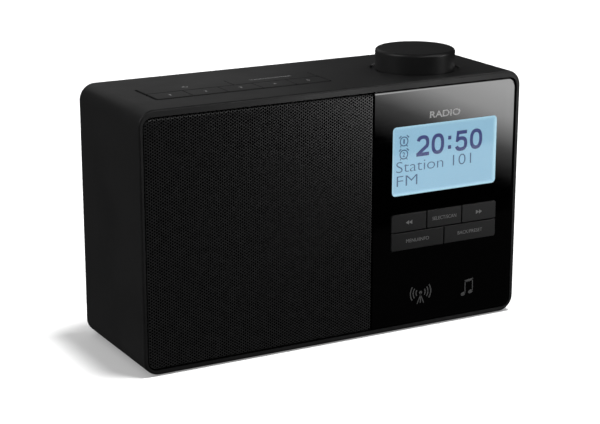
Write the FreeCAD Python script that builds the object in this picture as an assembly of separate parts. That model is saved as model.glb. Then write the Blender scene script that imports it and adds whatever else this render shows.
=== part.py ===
"""A tabletop digital radio as an assembly of separate sub-parts, one STEP file each.

Millimetres, +Z up, front towards -Y. The parts are drawn about the middle of the cabinet, then
moved so that the origin is on the surface the feet stand on, under the middle of the whole.
"""

import FreeCAD
import Part
import math
import os

V = FreeCAD.Vector

# ---- driving dimensions ----
WIDTH = 200.0
BODY_HEIGHT = 121.4
DEPTH = 68.5
FOOT_HEIGHT = 0.5
CORNER_RADIUS = 7.6
OPENING_RADIUS = 4.6        # corners of the front and rear openings
WALL_SIDE = 1.9
WALL_TOP = 3.2
WALL_BOTTOM = 2.3
FRONT_ROUND = 0.9
REAR_CHAMFER = 1.2
REAR_ROUND = 0.5

BOTTOM = FOOT_HEIGHT
TOP = FOOT_HEIGHT + BODY_HEIGHT
CABINET_FRONT = -DEPTH / 2
REAR = DEPTH / 2
FASCIA_PROUD = 0.2          # how far the fascia and the grille stand in front of the cabinet
FRONT = CABINET_FRONT - FASCIA_PROUD
INNER_X = WIDTH / 2 - WALL_SIDE
INNER_BOTTOM = BOTTOM + WALL_BOTTOM
INNER_TOP = TOP - WALL_TOP

# front: grille on the left, gloss fascia on the right, both on the front frame
FASCIA_THICK = 2.4
FRAME_FRONT = FRONT + FASCIA_THICK
FRAME_THICK = 2.4
FRAME_BACK = FRAME_FRONT + FRAME_THICK
FRAME_GAP = 0.15
SEAM_X = 18.1               # seam between grille and fascia
SEAM_HALF_GAP = 0.2
GRILLE_INSET = 2.6          # cabinet's side to the grille's edge
GRILLE_TOP_INSET = 3.7
GRILLE_BOTTOM_INSET = 2.8
GRILLE_SHEET = 0.7
GRILLE_ROLL = 1.1
GRILLE_CORNER = 3.4
GRILLE_SEAM_CORNER = 1.3
FASCIA_INSET = 2.1          # cabinet's side to the fascia's edge
FASCIA_TOP_INSET = 3.25
FASCIA_BOTTOM_INSET = 2.6
FASCIA_CORNER = 5.0
FASCIA_ROUND = 1.4

WINDOW_X = (28.2, 86.9)
WINDOW_Z = (BOTTOM + 67.0, BOTTOM + 100.4)
WINDOW_CORNER = 2.0
LENS_THICK = 1.1
LENS_GAP = 0.05

KEYPAD_X = (27.8, 87.4)
KEYPAD_Z = (BOTTOM + 40.2, BOTTOM + 58.1)
KEY_GAP = 0.4               # between neighbouring keys
KEY_CLEARANCE = 0.25        # between a key and the edge of its opening
KEY_PROUD = 0.7
KEY_CORNER = 1.2
KEY_TRAVEL = 0.5
KEY_LIP = 1.2

# display module and its board, behind the fascia
LCD_MARGIN = 2.0            # how far the glass reaches past the window
LCD_GLASS_THICK = 1.8
LCD_BACKLIGHT_THICK = 4.3
LCD_WRAP = 0.5              # the bezel's sheet round the glass
LCD_FRONT = FRONT + LENS_THICK + 0.1
DISPLAY_BOARD_FRONT = LCD_FRONT + LCD_GLASS_THICK + LCD_BACKLIGHT_THICK
BOARD_THICK = 1.6
DISPLAY_BOARD_X = (23.5, 93.5)
DISPLAY_BOARD_Z = (BOTTOM + 28.6, BOTTOM + 104.6)
SWITCH_SIDE = 6.0
SWITCH_BODY = 3.5
SWITCH_STEM = 0.8
SWITCH_STEM_R = 1.7

# top keys
PRESETS = 5
TOP_KEYS_X = (-82.5, 5.2)
TOP_KEYS_Y = (-16.0, 8.0)
TOP_KEY_END_GAP = 1.0
TOP_KEY_SIDE_GAP = 0.2
TOP_KEY_GAP = 0.25          # between neighbouring top keys
TOP_KEY_PROUD = 0.35
TOP_KEY_ROUND = 0.34
TOP_KEY_SKIRT = 0.2         # how far the key's block reaches under the wall
TOP_KEY_LIP = 1.0
TOP_KEY_LIP_OUT = 1.2
TOP_KEY_CORNER = 0.8
TOP_PLUNGER_R = 1.5
TOP_BOARD_X = (-84.5, 79.5)
TOP_BOARD_Y = (-22.5, 16.0)
TOP_BOARD_DROP = 10.1       # top of the cabinet down to the board's upper face
TOP_BOARD_FACE = TOP - TOP_BOARD_DROP
TOP_POSTS = [(-65.0, -20.0), (-65.0, 12.6), (24.0, -20.0), (24.0, 12.6)]

# knob and rotary encoder
KNOB_X = 58.3
KNOB_Y = -5.0
KNOB_R = 19.3
KNOB_RISE = 9.5
KNOB_ROUND = 1.5
KNOB_WALL = 2.0
KNOB_FLOAT = 0.4            # knob's lower rim above the recess floor
RECESS_R = 21.3
RECESS_DEPTH = 1.0
RECESS_ROUND = 0.6
ENCODER_SIDE = 13.0
BUSHING_R = 3.5
BUSHING_RISE = 2.5
SHAFT_R = 3.0
SHAFT_FLAT = 1.5            # D flat, from the axis
SHAFT_RISE = 6.2
NUT_R = 5.6
NUT_THICK = 2.0
WASHER_R = 6.4
WASHER_THICK = 0.5

# bosses in the cabinet's four corners, along Y
BOSS_INSET = 8.7
BOSS_R = 4.2
BOSS_HOLE_R = 1.3
BOSS_HOLE_DEEP = 12.0
BOSS_XZ = [(sx * (WIDTH / 2 - BOSS_INSET), z)
           for sx in (-1, 1) for z in (BOTTOM + BOSS_INSET, TOP - BOSS_INSET)]

# rear cover
COVER_INSET = 0.8           # cover's outer face inside the cabinet's rear rim
COVER_THICK = 2.4
COVER_OUTER = REAR - COVER_INSET
COVER_INNER = COVER_OUTER - COVER_THICK
COVER_GAP = 0.2
VENT_COUNT = 14
VENT_PITCH = 5.0
VENT_WIDTH = 2.0
VENT_HEIGHT = 34.0

# rubber feet
FOOT_R = 6.0
FOOT_SEAT = 0.6             # how far a foot is let into the bottom
FOOT_INSET = (17.0, 12.0)   # foot's centre from the side and from the front or rear

# speaker, axis along Y
SPEAKER_X = -40.0
SPEAKER_Z = BOTTOM + BODY_HEIGHT / 2
SPEAKER_HOLE_R = 36.0
SPEAKER_FLANGE_R = 39.0
SPEAKER_FLANGE_THICK = 1.4
GASKET_THICK = 0.8
SPEAKER_FLANGE_FRONT = FRAME_BACK + GASKET_THICK
FLANGE_BACK = SPEAKER_FLANGE_FRONT + SPEAKER_FLANGE_THICK
SPEAKER_EAR_R = 43.0        # pitch radius of the mounting holes
BASKET_TOP_R = 35.4
BASKET_END_R = 21.0
BASKET_DEEP = 20.0
BASKET_END = FLANGE_BACK + BASKET_DEEP
BASKET_SKIN = 1.0
BASKET_WINDOWS = 6
SPIDER_Y = FLANGE_BACK + 14.0
SURROUND_OUT_R = 34.6
SURROUND_IN_R = 28.0
SURROUND_LAND = 0.6         # thickness of the surround's flat lands
CONE_FRONT = SPEAKER_FLANGE_FRONT - 0.1
CONE_NECK_R = 10.0
CONE_DEEP = 12.0
CONE_SKIN = 0.6
COIL_R = 10.0
COIL_WALL = 0.5
COIL_LENGTH = 13.5
MAGNET_R = 24.0
MAGNET_THICK = 10.0
PLATE_THICK = 3.0
POLE_R = 9.3
GAP_R = 11.2

# main board
MAIN_BOARD_X = (-12.0, 84.0)
MAIN_BOARD_Y = (-22.0, 29.5)
MAIN_BOARD_Z = BOTTOM + 10.0
MAIN_BOARD_FACE = MAIN_BOARD_Z + BOARD_THICK
DC_X = 66.0
DC_Z = MAIN_BOARD_FACE + 6.0
DC_BORE_R = 3.1
DC_PIN_R = 1.0
DC_BORE_DEEP = 9.5
PHONES_X = 46.0
PHONES_Z = MAIN_BOARD_FACE + 4.5
PHONES_BORE_R = 1.8
PHONES_BORE_DEEP = 14.0
JACK_NOSE_END = COVER_OUTER - 0.1
WIRE_R = 0.7

# telescopic antenna, stowed along -X behind the rear cover
ANTENNA_X = 80.0
ANTENNA_Z = TOP - 13.0
ANTENNA_JOURNAL_R = 4.0
ANTENNA_HEAD_R = 7.0
ANTENNA_HEAD = (COVER_OUTER + 0.15, COVER_OUTER + 2.15)
ANTENNA_PIN_Y = 39.2
ANTENNA_PIN_R = 1.2
ANTENNA_EAR_R = 3.6
ANTENNA_EYE_HALF = 2.0
ANTENNA_EAR_Z = (2.15, 4.15)
ANTENNA_TUBES = [(3.2, 2.73), (2.65, 2.23), (2.15, 1.73), (1.65, 0.0)]
ANTENNA_ROOT = 4.8          # pin axis to the first tube's shoulder
ANTENNA_TUBE_LENGTH = 142.0
ANTENNA_STEP = 3.0          # each section shows this much past the one outside it
ANTENNA_NEST = 4.0          # each section starts this much inside the one outside it
ANTENNA_TIP_R = 3.2
ANTENNA_TIP_LENGTH = 7.0

# the whole object's front-to-back span, as drawn
OVERALL_Y = (FRONT - KEY_PROUD, ANTENNA_PIN_Y + ANTENNA_EAR_R)


# ---- helpers ----
def box(x, y, z):
    """A box from three (low, high) pairs."""
    return Part.makeBox(x[1] - x[0], y[1] - y[0], z[1] - z[0], V(x[0], y[0], z[0]))


def cylinder(centre, r, ends, axis="y"):
    """A cylinder along an axis: centre is the two other coordinates, in x, y, z order."""
    low, high = ends
    a, b = centre
    if axis == "x":
        return Part.makeCylinder(r, high - low, V(low, a, b), V(1, 0, 0))
    if axis == "y":
        return Part.makeCylinder(r, high - low, V(a, low, b), V(0, 1, 0))
    return Part.makeCylinder(r, high - low, V(a, b, low), V(0, 0, 1))


def ring(centre, r_out, r_in, ends, axis="y"):
    return cylinder(centre, r_out, ends, axis).cut(cylinder(centre, r_in, ends, axis))


def round_rect(u, v, radii):
    """Edges of a rounded rectangle in (u, v). radii go low-low, high-low, high-high, low-high."""
    (u0, u1), (v0, v1) = u, v
    r = radii
    centres = [(u0 + r[0], v0 + r[0]), (u1 - r[1], v0 + r[1]),
               (u1 - r[2], v1 - r[2]), (u0 + r[3], v1 - r[3])]
    points = []
    for i, (cu, cv) in enumerate(centres):
        start = math.pi + i * math.pi / 2
        points.append([(cu + r[i] * math.cos(start + t), cv + r[i] * math.sin(start + t))
                       for t in (0, math.pi / 4, math.pi / 2)])
    return points


def round_prism(u, v, radii, ends, axis="y"):
    """A rounded rectangle in X and Z along Y, or in X and Y along Z."""
    if not isinstance(radii, (list, tuple)):
        radii = [radii] * 4
    low, high = ends

    def place(p):
        return V(p[0], low, p[1]) if axis == "y" else V(p[0], p[1], low)

    corners = round_rect(u, v, radii)
    edges = []
    for i, corner in enumerate(corners):
        a, b, c = (place(p) for p in corner)
        edges.append(Part.Arc(a, b, c).toShape())
        following = place(corners[(i + 1) % 4][0])
        if c.distanceToPoint(following) > 1e-6:
            edges.append(Part.LineSegment(c, following).toShape())
    face = Part.Face(Part.Wire(edges))
    return face.extrude(V(0, high - low, 0) if axis == "y" else V(0, 0, high - low))


def revolve_y(profile, x, z):
    """Turns a closed profile of (radius, y) points about the Y axis through x, z."""
    points = [V(x + r, y, z) for r, y in profile]
    wire = Part.makePolygon(points + points[:1])
    return Part.Face(wire).revolve(V(x, 0, z), V(0, 1, 0), 360)


def edges_where(shape, test):
    """The edges whose every sample point passes the test."""
    found = []
    for e in shape.Edges:
        a, b = e.ParameterRange
        if all(test(e.valueAt(a + (b - a) * t)) for t in (0.1, 0.5, 0.9)):
            found.append(e)
    return found


def at_y(y):
    return lambda p: abs(p.y - y) < 1e-3


def at_z(z):
    return lambda p: abs(p.z - z) < 1e-3


def solid_group(shapes):
    return Part.makeCompound(shapes)


def routed_tube(points, radius):
    """A tube along straight runs joined by tangent arcs, and the arcs' radii."""
    pts = [V(*p) for p in points]
    edges, radii, last = [], [], pts[0]
    for before, here, after in zip(pts, pts[1:], pts[2:]):
        back, forth = before - here, after - here
        run = min(back.Length, forth.Length)
        back.normalize()
        forth.normalize()
        half_turn = (math.pi - back.getAngle(forth)) / 2
        trim = 0.45 * run
        bend = trim / math.tan(half_turn)
        start, end = here + back * trim, here + forth * trim
        inward = back + forth
        inward.normalize()
        middle = here + inward * (bend / math.cos(half_turn) - bend)
        edges += [Part.LineSegment(last, start).toShape(), Part.Arc(start, middle, end).toShape()]
        radii.append(bend)
        last = end
    edges.append(Part.LineSegment(last, pts[-1]).toShape())
    path = Part.Wire(edges)
    section = Part.Wire([Part.makeCircle(radius, pts[0], pts[1] - pts[0])])
    return path.makePipeShell([section], True, False), radii


def flat_ribbon(centreline, x, thick):
    """A flat cable across x that follows (y, z) points with rounded bends."""
    bend = 2.5
    half = thick / 2

    def side(offset):
        edges, last = [], None
        pts = [V(0, y, z) for y, z in centreline]
        for i, here in enumerate(pts):
            toward = (pts[i + 1] - here) if i + 1 < len(pts) else (here - pts[i - 1])
            came = (here - pts[i - 1]) if i else toward
            toward.normalize()
            came.normalize()
            normal_in, normal_out = V(0, -came.z, came.y), V(0, -toward.z, toward.y)
            if i in (0, len(pts) - 1):
                spots = [here + normal_out * offset]
            else:
                turn = came.getAngle(toward)
                left = came.cross(toward).x > 0
                trim = bend * math.tan(turn / 2)
                start = here - came * trim + normal_in * offset
                end = here + toward * trim + normal_out * offset
                toward_centre = normal_in if left else normal_in * -1
                centre = here - came * trim + toward_centre * bend
                radius = bend - offset if left else bend + offset
                mid_dir = (start - centre) + (end - centre)
                mid_dir.normalize()
                spots = [start, centre + mid_dir * radius, end]
            if last is not None:
                edges.append(Part.LineSegment(last, spots[0]).toShape())
            if len(spots) == 3:
                edges.append(Part.Arc(*spots).toShape())
            last = spots[-1]
        return edges

    left, right = side(half), side(-half)
    ends = [Part.LineSegment(left[0].Vertexes[0].Point, right[0].Vertexes[0].Point).toShape(),
            Part.LineSegment(left[-1].Vertexes[-1].Point, right[-1].Vertexes[-1].Point).toShape()]
    outline = Part.Wire(Part.__sortEdges__(left + right + ends))
    strip = Part.Face(outline).extrude(V(x[1] - x[0], 0, 0))
    strip.translate(V(x[0], 0, 0))
    return strip


def pan_screw(head, direction, length, head_r=2.6, shank_r=1.25):
    """A pan-head screw: head is the underside of its head, direction points along the shank."""
    head_high = 1.6
    shank = Part.makeCylinder(shank_r, length, head, direction)
    cap = Part.makeCylinder(head_r, head_high, head, direction * -1)
    cap = cap.makeFillet(0.5, [e for e in cap.Edges if e.Curve.TypeId == "Part::GeomCircle"
                               and (e.CenterOfMass - head).dot(direction) < -1.0])
    slot_half, slot_deep = 0.35, 0.8
    screw = shank.fuse(cap)
    across = V(0, 0, 1) if abs(direction.z) < 0.5 else V(0, 1, 0)
    for lay in (across, across.cross(direction)):
        other = lay.cross(direction)
        bar = Part.makeBox(3.0, 2 * slot_half, slot_deep)
        frame = FreeCAD.Matrix(lay.x, other.x, direction.x, 0, lay.y, other.y, direction.y, 0,
                               lay.z, other.z, direction.z, 0, 0, 0, 0, 1)
        bar.translate(V(-1.5, -slot_half, -head_high))
        bar.transformShape(frame)
        bar.translate(head)
        screw = screw.cut(bar)
    return screw.removeSplitter()


# ---- casings ----
def cabinet():
    """The wrap-round sleeve: top, bottom and sides, with the key well and the knob recess."""
    ends = (CABINET_FRONT, REAR)
    shell = round_prism((-WIDTH / 2, WIDTH / 2), (BOTTOM, TOP), CORNER_RADIUS, ends)
    shell = shell.makeFillet(FRONT_ROUND, edges_where(shell, at_y(CABINET_FRONT)))
    shell = shell.makeChamfer(REAR_CHAMFER, edges_where(shell, at_y(REAR)))
    shell = shell.makeFillet(REAR_ROUND, edges_where(shell, at_y(REAR - REAR_CHAMFER)))
    hollow = round_prism((-INNER_X, INNER_X), (INNER_BOTTOM, INNER_TOP), OPENING_RADIUS,
                         (CABINET_FRONT - 1, REAR + 1))
    shell = shell.cut(hollow)

    well = round_prism((TOP_KEYS_X[0] - TOP_KEY_END_GAP, TOP_KEYS_X[1] + TOP_KEY_END_GAP),
                       (TOP_KEYS_Y[0] - TOP_KEY_SIDE_GAP, TOP_KEYS_Y[1] + TOP_KEY_SIDE_GAP),
                       TOP_KEY_CORNER + TOP_KEY_SIDE_GAP, (INNER_TOP - 1, TOP + 1), "z")
    shell = shell.cut(well)

    knob = (KNOB_X, KNOB_Y)
    shell = shell.cut(cylinder(knob, RECESS_R, (TOP - RECESS_DEPTH, TOP + 1), "z"))
    rim = [e for e in edges_where(shell, at_z(TOP))
           if abs(e.valueAt(e.FirstParameter).distanceToPoint(V(KNOB_X, KNOB_Y, TOP)) - RECESS_R) < 0.01]
    shell = shell.makeFillet(RECESS_ROUND, rim)
    shell = shell.cut(cylinder(knob, BUSHING_R + 0.1, (INNER_TOP - 5, TOP), "z"))

    adds, cuts = [], []
    for x, z in BOSS_XZ:
        adds.append(cylinder((x, z), BOSS_R, (FRAME_BACK, COVER_INNER)))
        side = math.copysign(1, x)
        wall_x = sorted((x, side * (INNER_X + 0.5)))
        adds.append(box(wall_x, (FRAME_BACK, COVER_INNER), (z - 1.2, z + 1.2)))
        wall_z = (z, INNER_TOP + 0.5) if z > BODY_HEIGHT / 2 else (INNER_BOTTOM - 0.5, z)
        adds.append(box((x - 1.2, x + 1.2), (FRAME_BACK, COVER_INNER), wall_z))
        cuts.append(cylinder((x, z), BOSS_HOLE_R, (FRAME_BACK - 1, FRAME_BACK + BOSS_HOLE_DEEP)))
        cuts.append(cylinder((x, z), BOSS_HOLE_R, (COVER_INNER - BOSS_HOLE_DEEP, COVER_INNER + 1)))
    for x, y in TOP_POSTS:
        adds.append(cylinder((x, y), 2.8, (TOP_BOARD_FACE, INNER_TOP + 0.5), "z"))
        cuts.append(cylinder((x, y), BOSS_HOLE_R, (TOP_BOARD_FACE - 1, TOP_BOARD_FACE + 6), "z"))
    for x, y in main_board_posts():
        adds.append(cylinder((x, y), 3.0, (INNER_BOTTOM - 0.5, MAIN_BOARD_Z), "z"))
        cuts.append(cylinder((x, y), BOSS_HOLE_R, (MAIN_BOARD_Z - 5.5, MAIN_BOARD_Z + 1), "z"))
    for x, y in feet_places():
        cuts.append(cylinder((x, y), FOOT_R + 0.1, (BOTTOM - 1, BOTTOM + FOOT_SEAT), "z"))
    shell = shell.multiFuse(adds).removeSplitter()
    return shell.cut(Part.makeCompound(cuts))


def feet_places():
    x, y = WIDTH / 2 - FOOT_INSET[0], DEPTH / 2 - FOOT_INSET[1]
    return [(sx * x, sy * y) for sx in (-1, 1) for sy in (-1, 1)]


def rubber_feet():
    feet = []
    for place in feet_places():
        pad = cylinder(place, FOOT_R, (0, BOTTOM + FOOT_SEAT), "z")
        feet.append(pad.makeFillet(0.5, edges_where(pad, at_z(0))))
    return solid_group(feet)


def main_board_posts():
    inset = 4.0
    return [(x + s * inset, y + t * inset) for x, s in zip(MAIN_BOARD_X, (1, -1))
            for y, t in zip((MAIN_BOARD_Y[0], MAIN_BOARD_Y[1] - 8.0), (1, 1))]


def front_frame():
    """The inner baffle: carries the grille, the fascia, the speaker and the display board."""
    edge_x = INNER_X - FRAME_GAP
    ends = (FRAME_FRONT, FRAME_BACK)
    frame = round_prism((-edge_x, edge_x), (INNER_BOTTOM + FRAME_GAP, INNER_TOP - FRAME_GAP),
                        OPENING_RADIUS - FRAME_GAP, ends)
    cuts = [cylinder((SPEAKER_X, SPEAKER_Z), SPEAKER_HOLE_R, (FRAME_FRONT - 1, FRAME_BACK + 1))]
    through = (FRAME_FRONT - 1, FRAME_BACK + 1)
    glass_x, glass_z = lcd_outline(1.2)
    cuts.append(box(glass_x, through, glass_z))
    cuts.append(box((KEYPAD_X[0] - 1.5, KEYPAD_X[1] + 1.5), through,
                    (KEYPAD_Z[0] - KEY_LIP - 1.0, KEYPAD_Z[1] + KEY_LIP + 1.0)))
    for x, z in BOSS_XZ:
        cuts.append(cylinder((x, z), 1.5, through))
        cuts.append(cylinder((x, z), 3.0, (FRAME_FRONT - 1, FRAME_FRONT + 1.7)))
    for x, z in speaker_holes():
        cuts.append(cylinder((x, z), 1.3, (FRAME_FRONT + 0.6, FRAME_BACK + 1)))
    frame = frame.cut(Part.makeCompound(cuts))
    posts = [cylinder(p, 2.3, (FRAME_BACK - 0.4, DISPLAY_BOARD_FRONT)) for p in display_posts()]
    frame = frame.multiFuse(posts).removeSplitter()
    return frame.cut(Part.makeCompound([cylinder(p, 1.1, (FRAME_BACK - 0.2, DISPLAY_BOARD_FRONT + 1))
                                        for p in display_posts()]))


def speaker_grille():
    """The sheet-metal pan; its fine perforation isn't cut in this solid."""
    x = (-WIDTH / 2 + GRILLE_INSET, SEAM_X - SEAM_HALF_GAP)
    z = (BOTTOM + GRILLE_BOTTOM_INSET, TOP - GRILLE_TOP_INSET)
    radii = [GRILLE_CORNER, GRILLE_SEAM_CORNER, GRILLE_SEAM_CORNER, GRILLE_CORNER]
    outer = round_prism(x, z, radii, (FRONT, FRAME_FRONT))
    outer = outer.makeFillet(GRILLE_ROLL, edges_where(outer, at_y(FRONT)))
    t = GRILLE_SHEET
    inner = round_prism((x[0] + t, x[1] - t), (z[0] + t, z[1] - t), [r - t for r in radii],
                        (FRONT + t, FRAME_FRONT + 1))
    inner = inner.makeFillet(GRILLE_ROLL - t, edges_where(inner, at_y(FRONT + t)))
    return outer.cut(inner)


def fascia_panel():
    """The gloss front panel, cut off square at the seam, with the display window and keypad opening."""
    seam = SEAM_X + SEAM_HALF_GAP
    x = (seam - 2 * FASCIA_CORNER, WIDTH / 2 - FASCIA_INSET)
    z = (BOTTOM + FASCIA_BOTTOM_INSET, TOP - FASCIA_TOP_INSET)
    through = (FRONT - 1, FRAME_FRONT + 1)
    panel = round_prism(x, z, FASCIA_CORNER, (FRONT, FRAME_FRONT))
    panel = panel.makeFillet(FASCIA_ROUND, edges_where(panel, at_y(FRONT)))
    panel = panel.cut(box((x[0] - 1, seam), through, (BOTTOM, TOP)))
    panel = panel.cut(round_prism(WINDOW_X, WINDOW_Z, WINDOW_CORNER, through))
    pocket_x, pocket_z = lcd_outline(LCD_WRAP + 0.2)
    panel = panel.cut(box(pocket_x, (LCD_FRONT - 0.05, FRAME_FRONT + 1), pocket_z))
    c = KEY_CLEARANCE
    panel = panel.cut(round_prism((KEYPAD_X[0] - c, KEYPAD_X[1] + c), (KEYPAD_Z[0] - c, KEYPAD_Z[1] + c),
                                  KEY_CORNER + c, through))
    return panel


def display_lens():
    g = LENS_GAP
    return round_prism((WINDOW_X[0] + g, WINDOW_X[1] - g), (WINDOW_Z[0] + g, WINDOW_Z[1] - g),
                       WINDOW_CORNER - g, (FRONT, FRONT + LENS_THICK))


def rear_cover():
    """The rear panel, set into the cabinet, with its vents, socket holes and antenna rest."""
    edge = INNER_X - COVER_GAP
    cover = round_prism((-edge, edge), (INNER_BOTTOM + COVER_GAP, INNER_TOP - COVER_GAP),
                        OPENING_RADIUS - COVER_GAP, (COVER_INNER, COVER_OUTER))
    cover = cover.makeFillet(0.5, edges_where(cover, at_y(COVER_OUTER)))
    through = (COVER_INNER - 1, COVER_OUTER + 1)
    cuts = []
    for i in range(VENT_COUNT):
        x = SPEAKER_X + (i - (VENT_COUNT - 1) / 2) * VENT_PITCH
        half = VENT_WIDTH / 2
        cuts.append(round_prism((x - half, x + half),
                                (SPEAKER_Z - VENT_HEIGHT / 2, SPEAKER_Z + VENT_HEIGHT / 2),
                                half - 0.01, through))
    for x, z in BOSS_XZ:
        cuts.append(cylinder((x, z), 1.5, through))
        cuts.append(cylinder((x, z), 3.2, (COVER_OUTER - 1.2, COVER_OUTER + 1)))
    cuts.append(cylinder((DC_X, DC_Z), 4.15, through))
    cuts.append(cylinder((PHONES_X, PHONES_Z), 3.15, through))
    cuts.append(cylinder((ANTENNA_X, ANTENNA_Z), ANTENNA_JOURNAL_R + 0.08, through))
    cover = cover.cut(Part.makeCompound(cuts))
    shelf_top = ANTENNA_Z - ANTENNA_TUBES[0][0] - 0.3
    shelf = box((-60, -52), (COVER_OUTER - 0.5, ANTENNA_PIN_Y + 1.0), (shelf_top - 2.4, shelf_top))
    shelf = shelf.makeFillet(0.6, edges_where(shelf, at_y(ANTENNA_PIN_Y + 1.0)))
    collar = ring((ANTENNA_X, ANTENNA_Z), ANTENNA_HEAD_R, ANTENNA_JOURNAL_R + 0.08,
                  (COVER_INNER - 2.0, COVER_INNER + 0.5))
    return cover.multiFuse([shelf, collar]).removeSplitter()


# ---- front keys, display ----
def front_key_boxes():
    """Each front key's (x, z) span and whether its lip is on the upper edge."""
    middle = sum(KEYPAD_Z) / 2
    width = KEYPAD_X[1] - KEYPAD_X[0]
    upper = (middle + KEY_GAP / 2, KEYPAD_Z[1])
    lower = (KEYPAD_Z[0], middle - KEY_GAP / 2)

    def row(names, count):
        cell = (width - KEY_GAP * (count - 1)) / count
        starts = [KEYPAD_X[0] + i * (cell + KEY_GAP) for i in range(count)]
        return {n: (s, s + cell) for n, s in zip(names, starts)}

    spans = {n: (x, upper, True) for n, x in row(["rewind_key", "select_key", "forward_key"], 3).items()}
    spans.update({n: (x, lower, False) for n, x in row(["menu_key", "back_key"], 2).items()})
    return spans


def front_key(x, z, lip_up):
    """A key cap that stands proud of the fascia, with a lip that keeps it in."""
    small, big = 0.3, KEY_CORNER
    left = abs(x[0] - KEYPAD_X[0]) < 1e-6
    right = abs(x[1] - KEYPAD_X[1]) < 1e-6
    radii = [big if left and not lip_up else small, big if right and not lip_up else small,
             big if right and lip_up else small, big if left and lip_up else small]
    back = FRAME_FRONT + 0.1
    cap = round_prism(x, z, radii, (FRONT - KEY_PROUD, back))
    cap = cap.makeFillet(0.25, edges_where(cap, at_y(FRONT - KEY_PROUD)))
    lip_z = (z[1] - 1.0, z[1] + KEY_LIP) if lip_up else (z[0] - KEY_LIP, z[0] + 1.0)
    lip = box((x[0] + 1.5, x[1] - 1.5), (back, back + 1.0), lip_z)
    return cap.fuse(lip).removeSplitter()


def front_switches():
    """The five tact switches under the front keys."""
    return solid_group([tact_switch_y((x[0] + x[1]) / 2, (z[0] + z[1]) / 2)
                        for x, z, _ in front_key_boxes().values()])


def tact_switch_y(x, z):
    half = SWITCH_SIDE / 2
    face = DISPLAY_BOARD_FRONT
    body = box((x - half, x + half), (face - SWITCH_BODY, face), (z - half, z + half))
    stem = cylinder((x, z), SWITCH_STEM_R, (face - SWITCH_BODY - SWITCH_STEM, face - SWITCH_BODY))
    return body.fuse(stem)


def lcd_outline(margin=0.0):
    m = LCD_MARGIN + margin
    return ((WINDOW_X[0] - m, WINDOW_X[1] + m), (WINDOW_Z[0] - m, WINDOW_Z[1] + m))


def lcd_glass():
    x, z = lcd_outline()
    return box(x, (LCD_FRONT, LCD_FRONT + LCD_GLASS_THICK), z)


def lcd_backlight():
    x, z = lcd_outline()
    back = LCD_FRONT + LCD_GLASS_THICK
    return box(x, (back, DISPLAY_BOARD_FRONT), z)


def lcd_bezel():
    """The thin metal frame clamped round the glass and the backlight."""
    (x0, x1), (z0, z1) = lcd_outline()
    w = LCD_WRAP
    outer = box((x0 - w, x1 + w), (LCD_FRONT, DISPLAY_BOARD_FRONT), (z0 - w, z1 + w))
    return outer.cut(box((x0, x1), (LCD_FRONT - 1, DISPLAY_BOARD_FRONT + 1), (z0, z1)))


def display_posts():
    inset = 2.6
    return [(x, z) for x in (DISPLAY_BOARD_X[0] + inset, DISPLAY_BOARD_X[1] - inset)
            for z in (DISPLAY_BOARD_Z[0] + inset, KEYPAD_Z[1] + 3.4)]


def display_board():
    board = box(DISPLAY_BOARD_X, (DISPLAY_BOARD_FRONT, DISPLAY_BOARD_FRONT + BOARD_THICK), DISPLAY_BOARD_Z)
    holes = [cylinder(p, 1.4, (DISPLAY_BOARD_FRONT - 1, DISPLAY_BOARD_FRONT + BOARD_THICK + 1))
             for p in display_posts()]
    return board.cut(Part.makeCompound(holes))


# ---- top keys ----
def top_key_boxes():
    """Each top key's (x, y) span and the direction in Y that its lip points."""
    x0, x1 = TOP_KEYS_X
    y0, y1 = TOP_KEYS_Y
    middle = (y0 + y1) / 2
    gap = TOP_KEY_GAP
    front, back = (y0, middle - gap / 2), (middle + gap / 2, y1)

    def cells(count):
        cell = (x1 - x0 - gap * (count - 1)) / count
        return [(x0 + i * (cell + gap), x0 + i * (cell + gap) + cell) for i in range(count)]

    spans = {f"preset_key_{i + 1}": (x, front, -1) for i, x in enumerate(cells(PRESETS))}
    for name, x in zip(("power_key", "snooze_key"), cells(2)):
        spans[name] = (x, back, 1)
    return spans


def top_key(x, y, lip_side):
    """A top key: its block, the lip that keeps it in and the plunger over its switch."""
    block_low = INNER_TOP - TOP_KEY_SKIRT
    small, big = 0.4, TOP_KEY_CORNER
    ends = (abs(x[0] - TOP_KEYS_X[0]) < 1e-6, abs(x[1] - TOP_KEYS_X[1]) < 1e-6)
    front = lip_side < 0
    radii = [big if ends[0] and front else small, big if ends[1] and front else small,
             big if ends[1] and not front else small, big if ends[0] and not front else small]
    cap = round_prism(x, y, radii, (block_low, TOP + TOP_KEY_PROUD), "z")
    cap = cap.makeFillet(TOP_KEY_ROUND, edges_where(cap, at_z(TOP + TOP_KEY_PROUD)))
    lip_y = (y[0] - TOP_KEY_LIP_OUT, y[0] + 1.0) if front else (y[1] - 1.0, y[1] + TOP_KEY_LIP_OUT)
    lip = box((x[0] + 1.5, x[1] - 1.5), lip_y, (block_low - TOP_KEY_LIP, block_low))
    middle = ((x[0] + x[1]) / 2, (y[0] + y[1]) / 2)
    plunger = cylinder(middle, TOP_PLUNGER_R, (top_switch_tip() + KEY_TRAVEL + 0.1, block_low), "z")
    return cap.multiFuse([lip, plunger]).removeSplitter()


def top_switch_tip():
    return TOP_BOARD_FACE + SWITCH_BODY + SWITCH_STEM


def top_switches():
    """The seven tact switches under the top keys."""
    half = SWITCH_SIDE / 2
    switches = []
    for x, y, _ in top_key_boxes().values():
        cx, cy = (x[0] + x[1]) / 2, (y[0] + y[1]) / 2
        body = box((cx - half, cx + half), (cy - half, cy + half),
                   (TOP_BOARD_FACE, TOP_BOARD_FACE + SWITCH_BODY))
        switches.append(body.fuse(cylinder((cx, cy), SWITCH_STEM_R,
                                           (TOP_BOARD_FACE + SWITCH_BODY, top_switch_tip()), "z")))
    return solid_group(switches)


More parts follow.
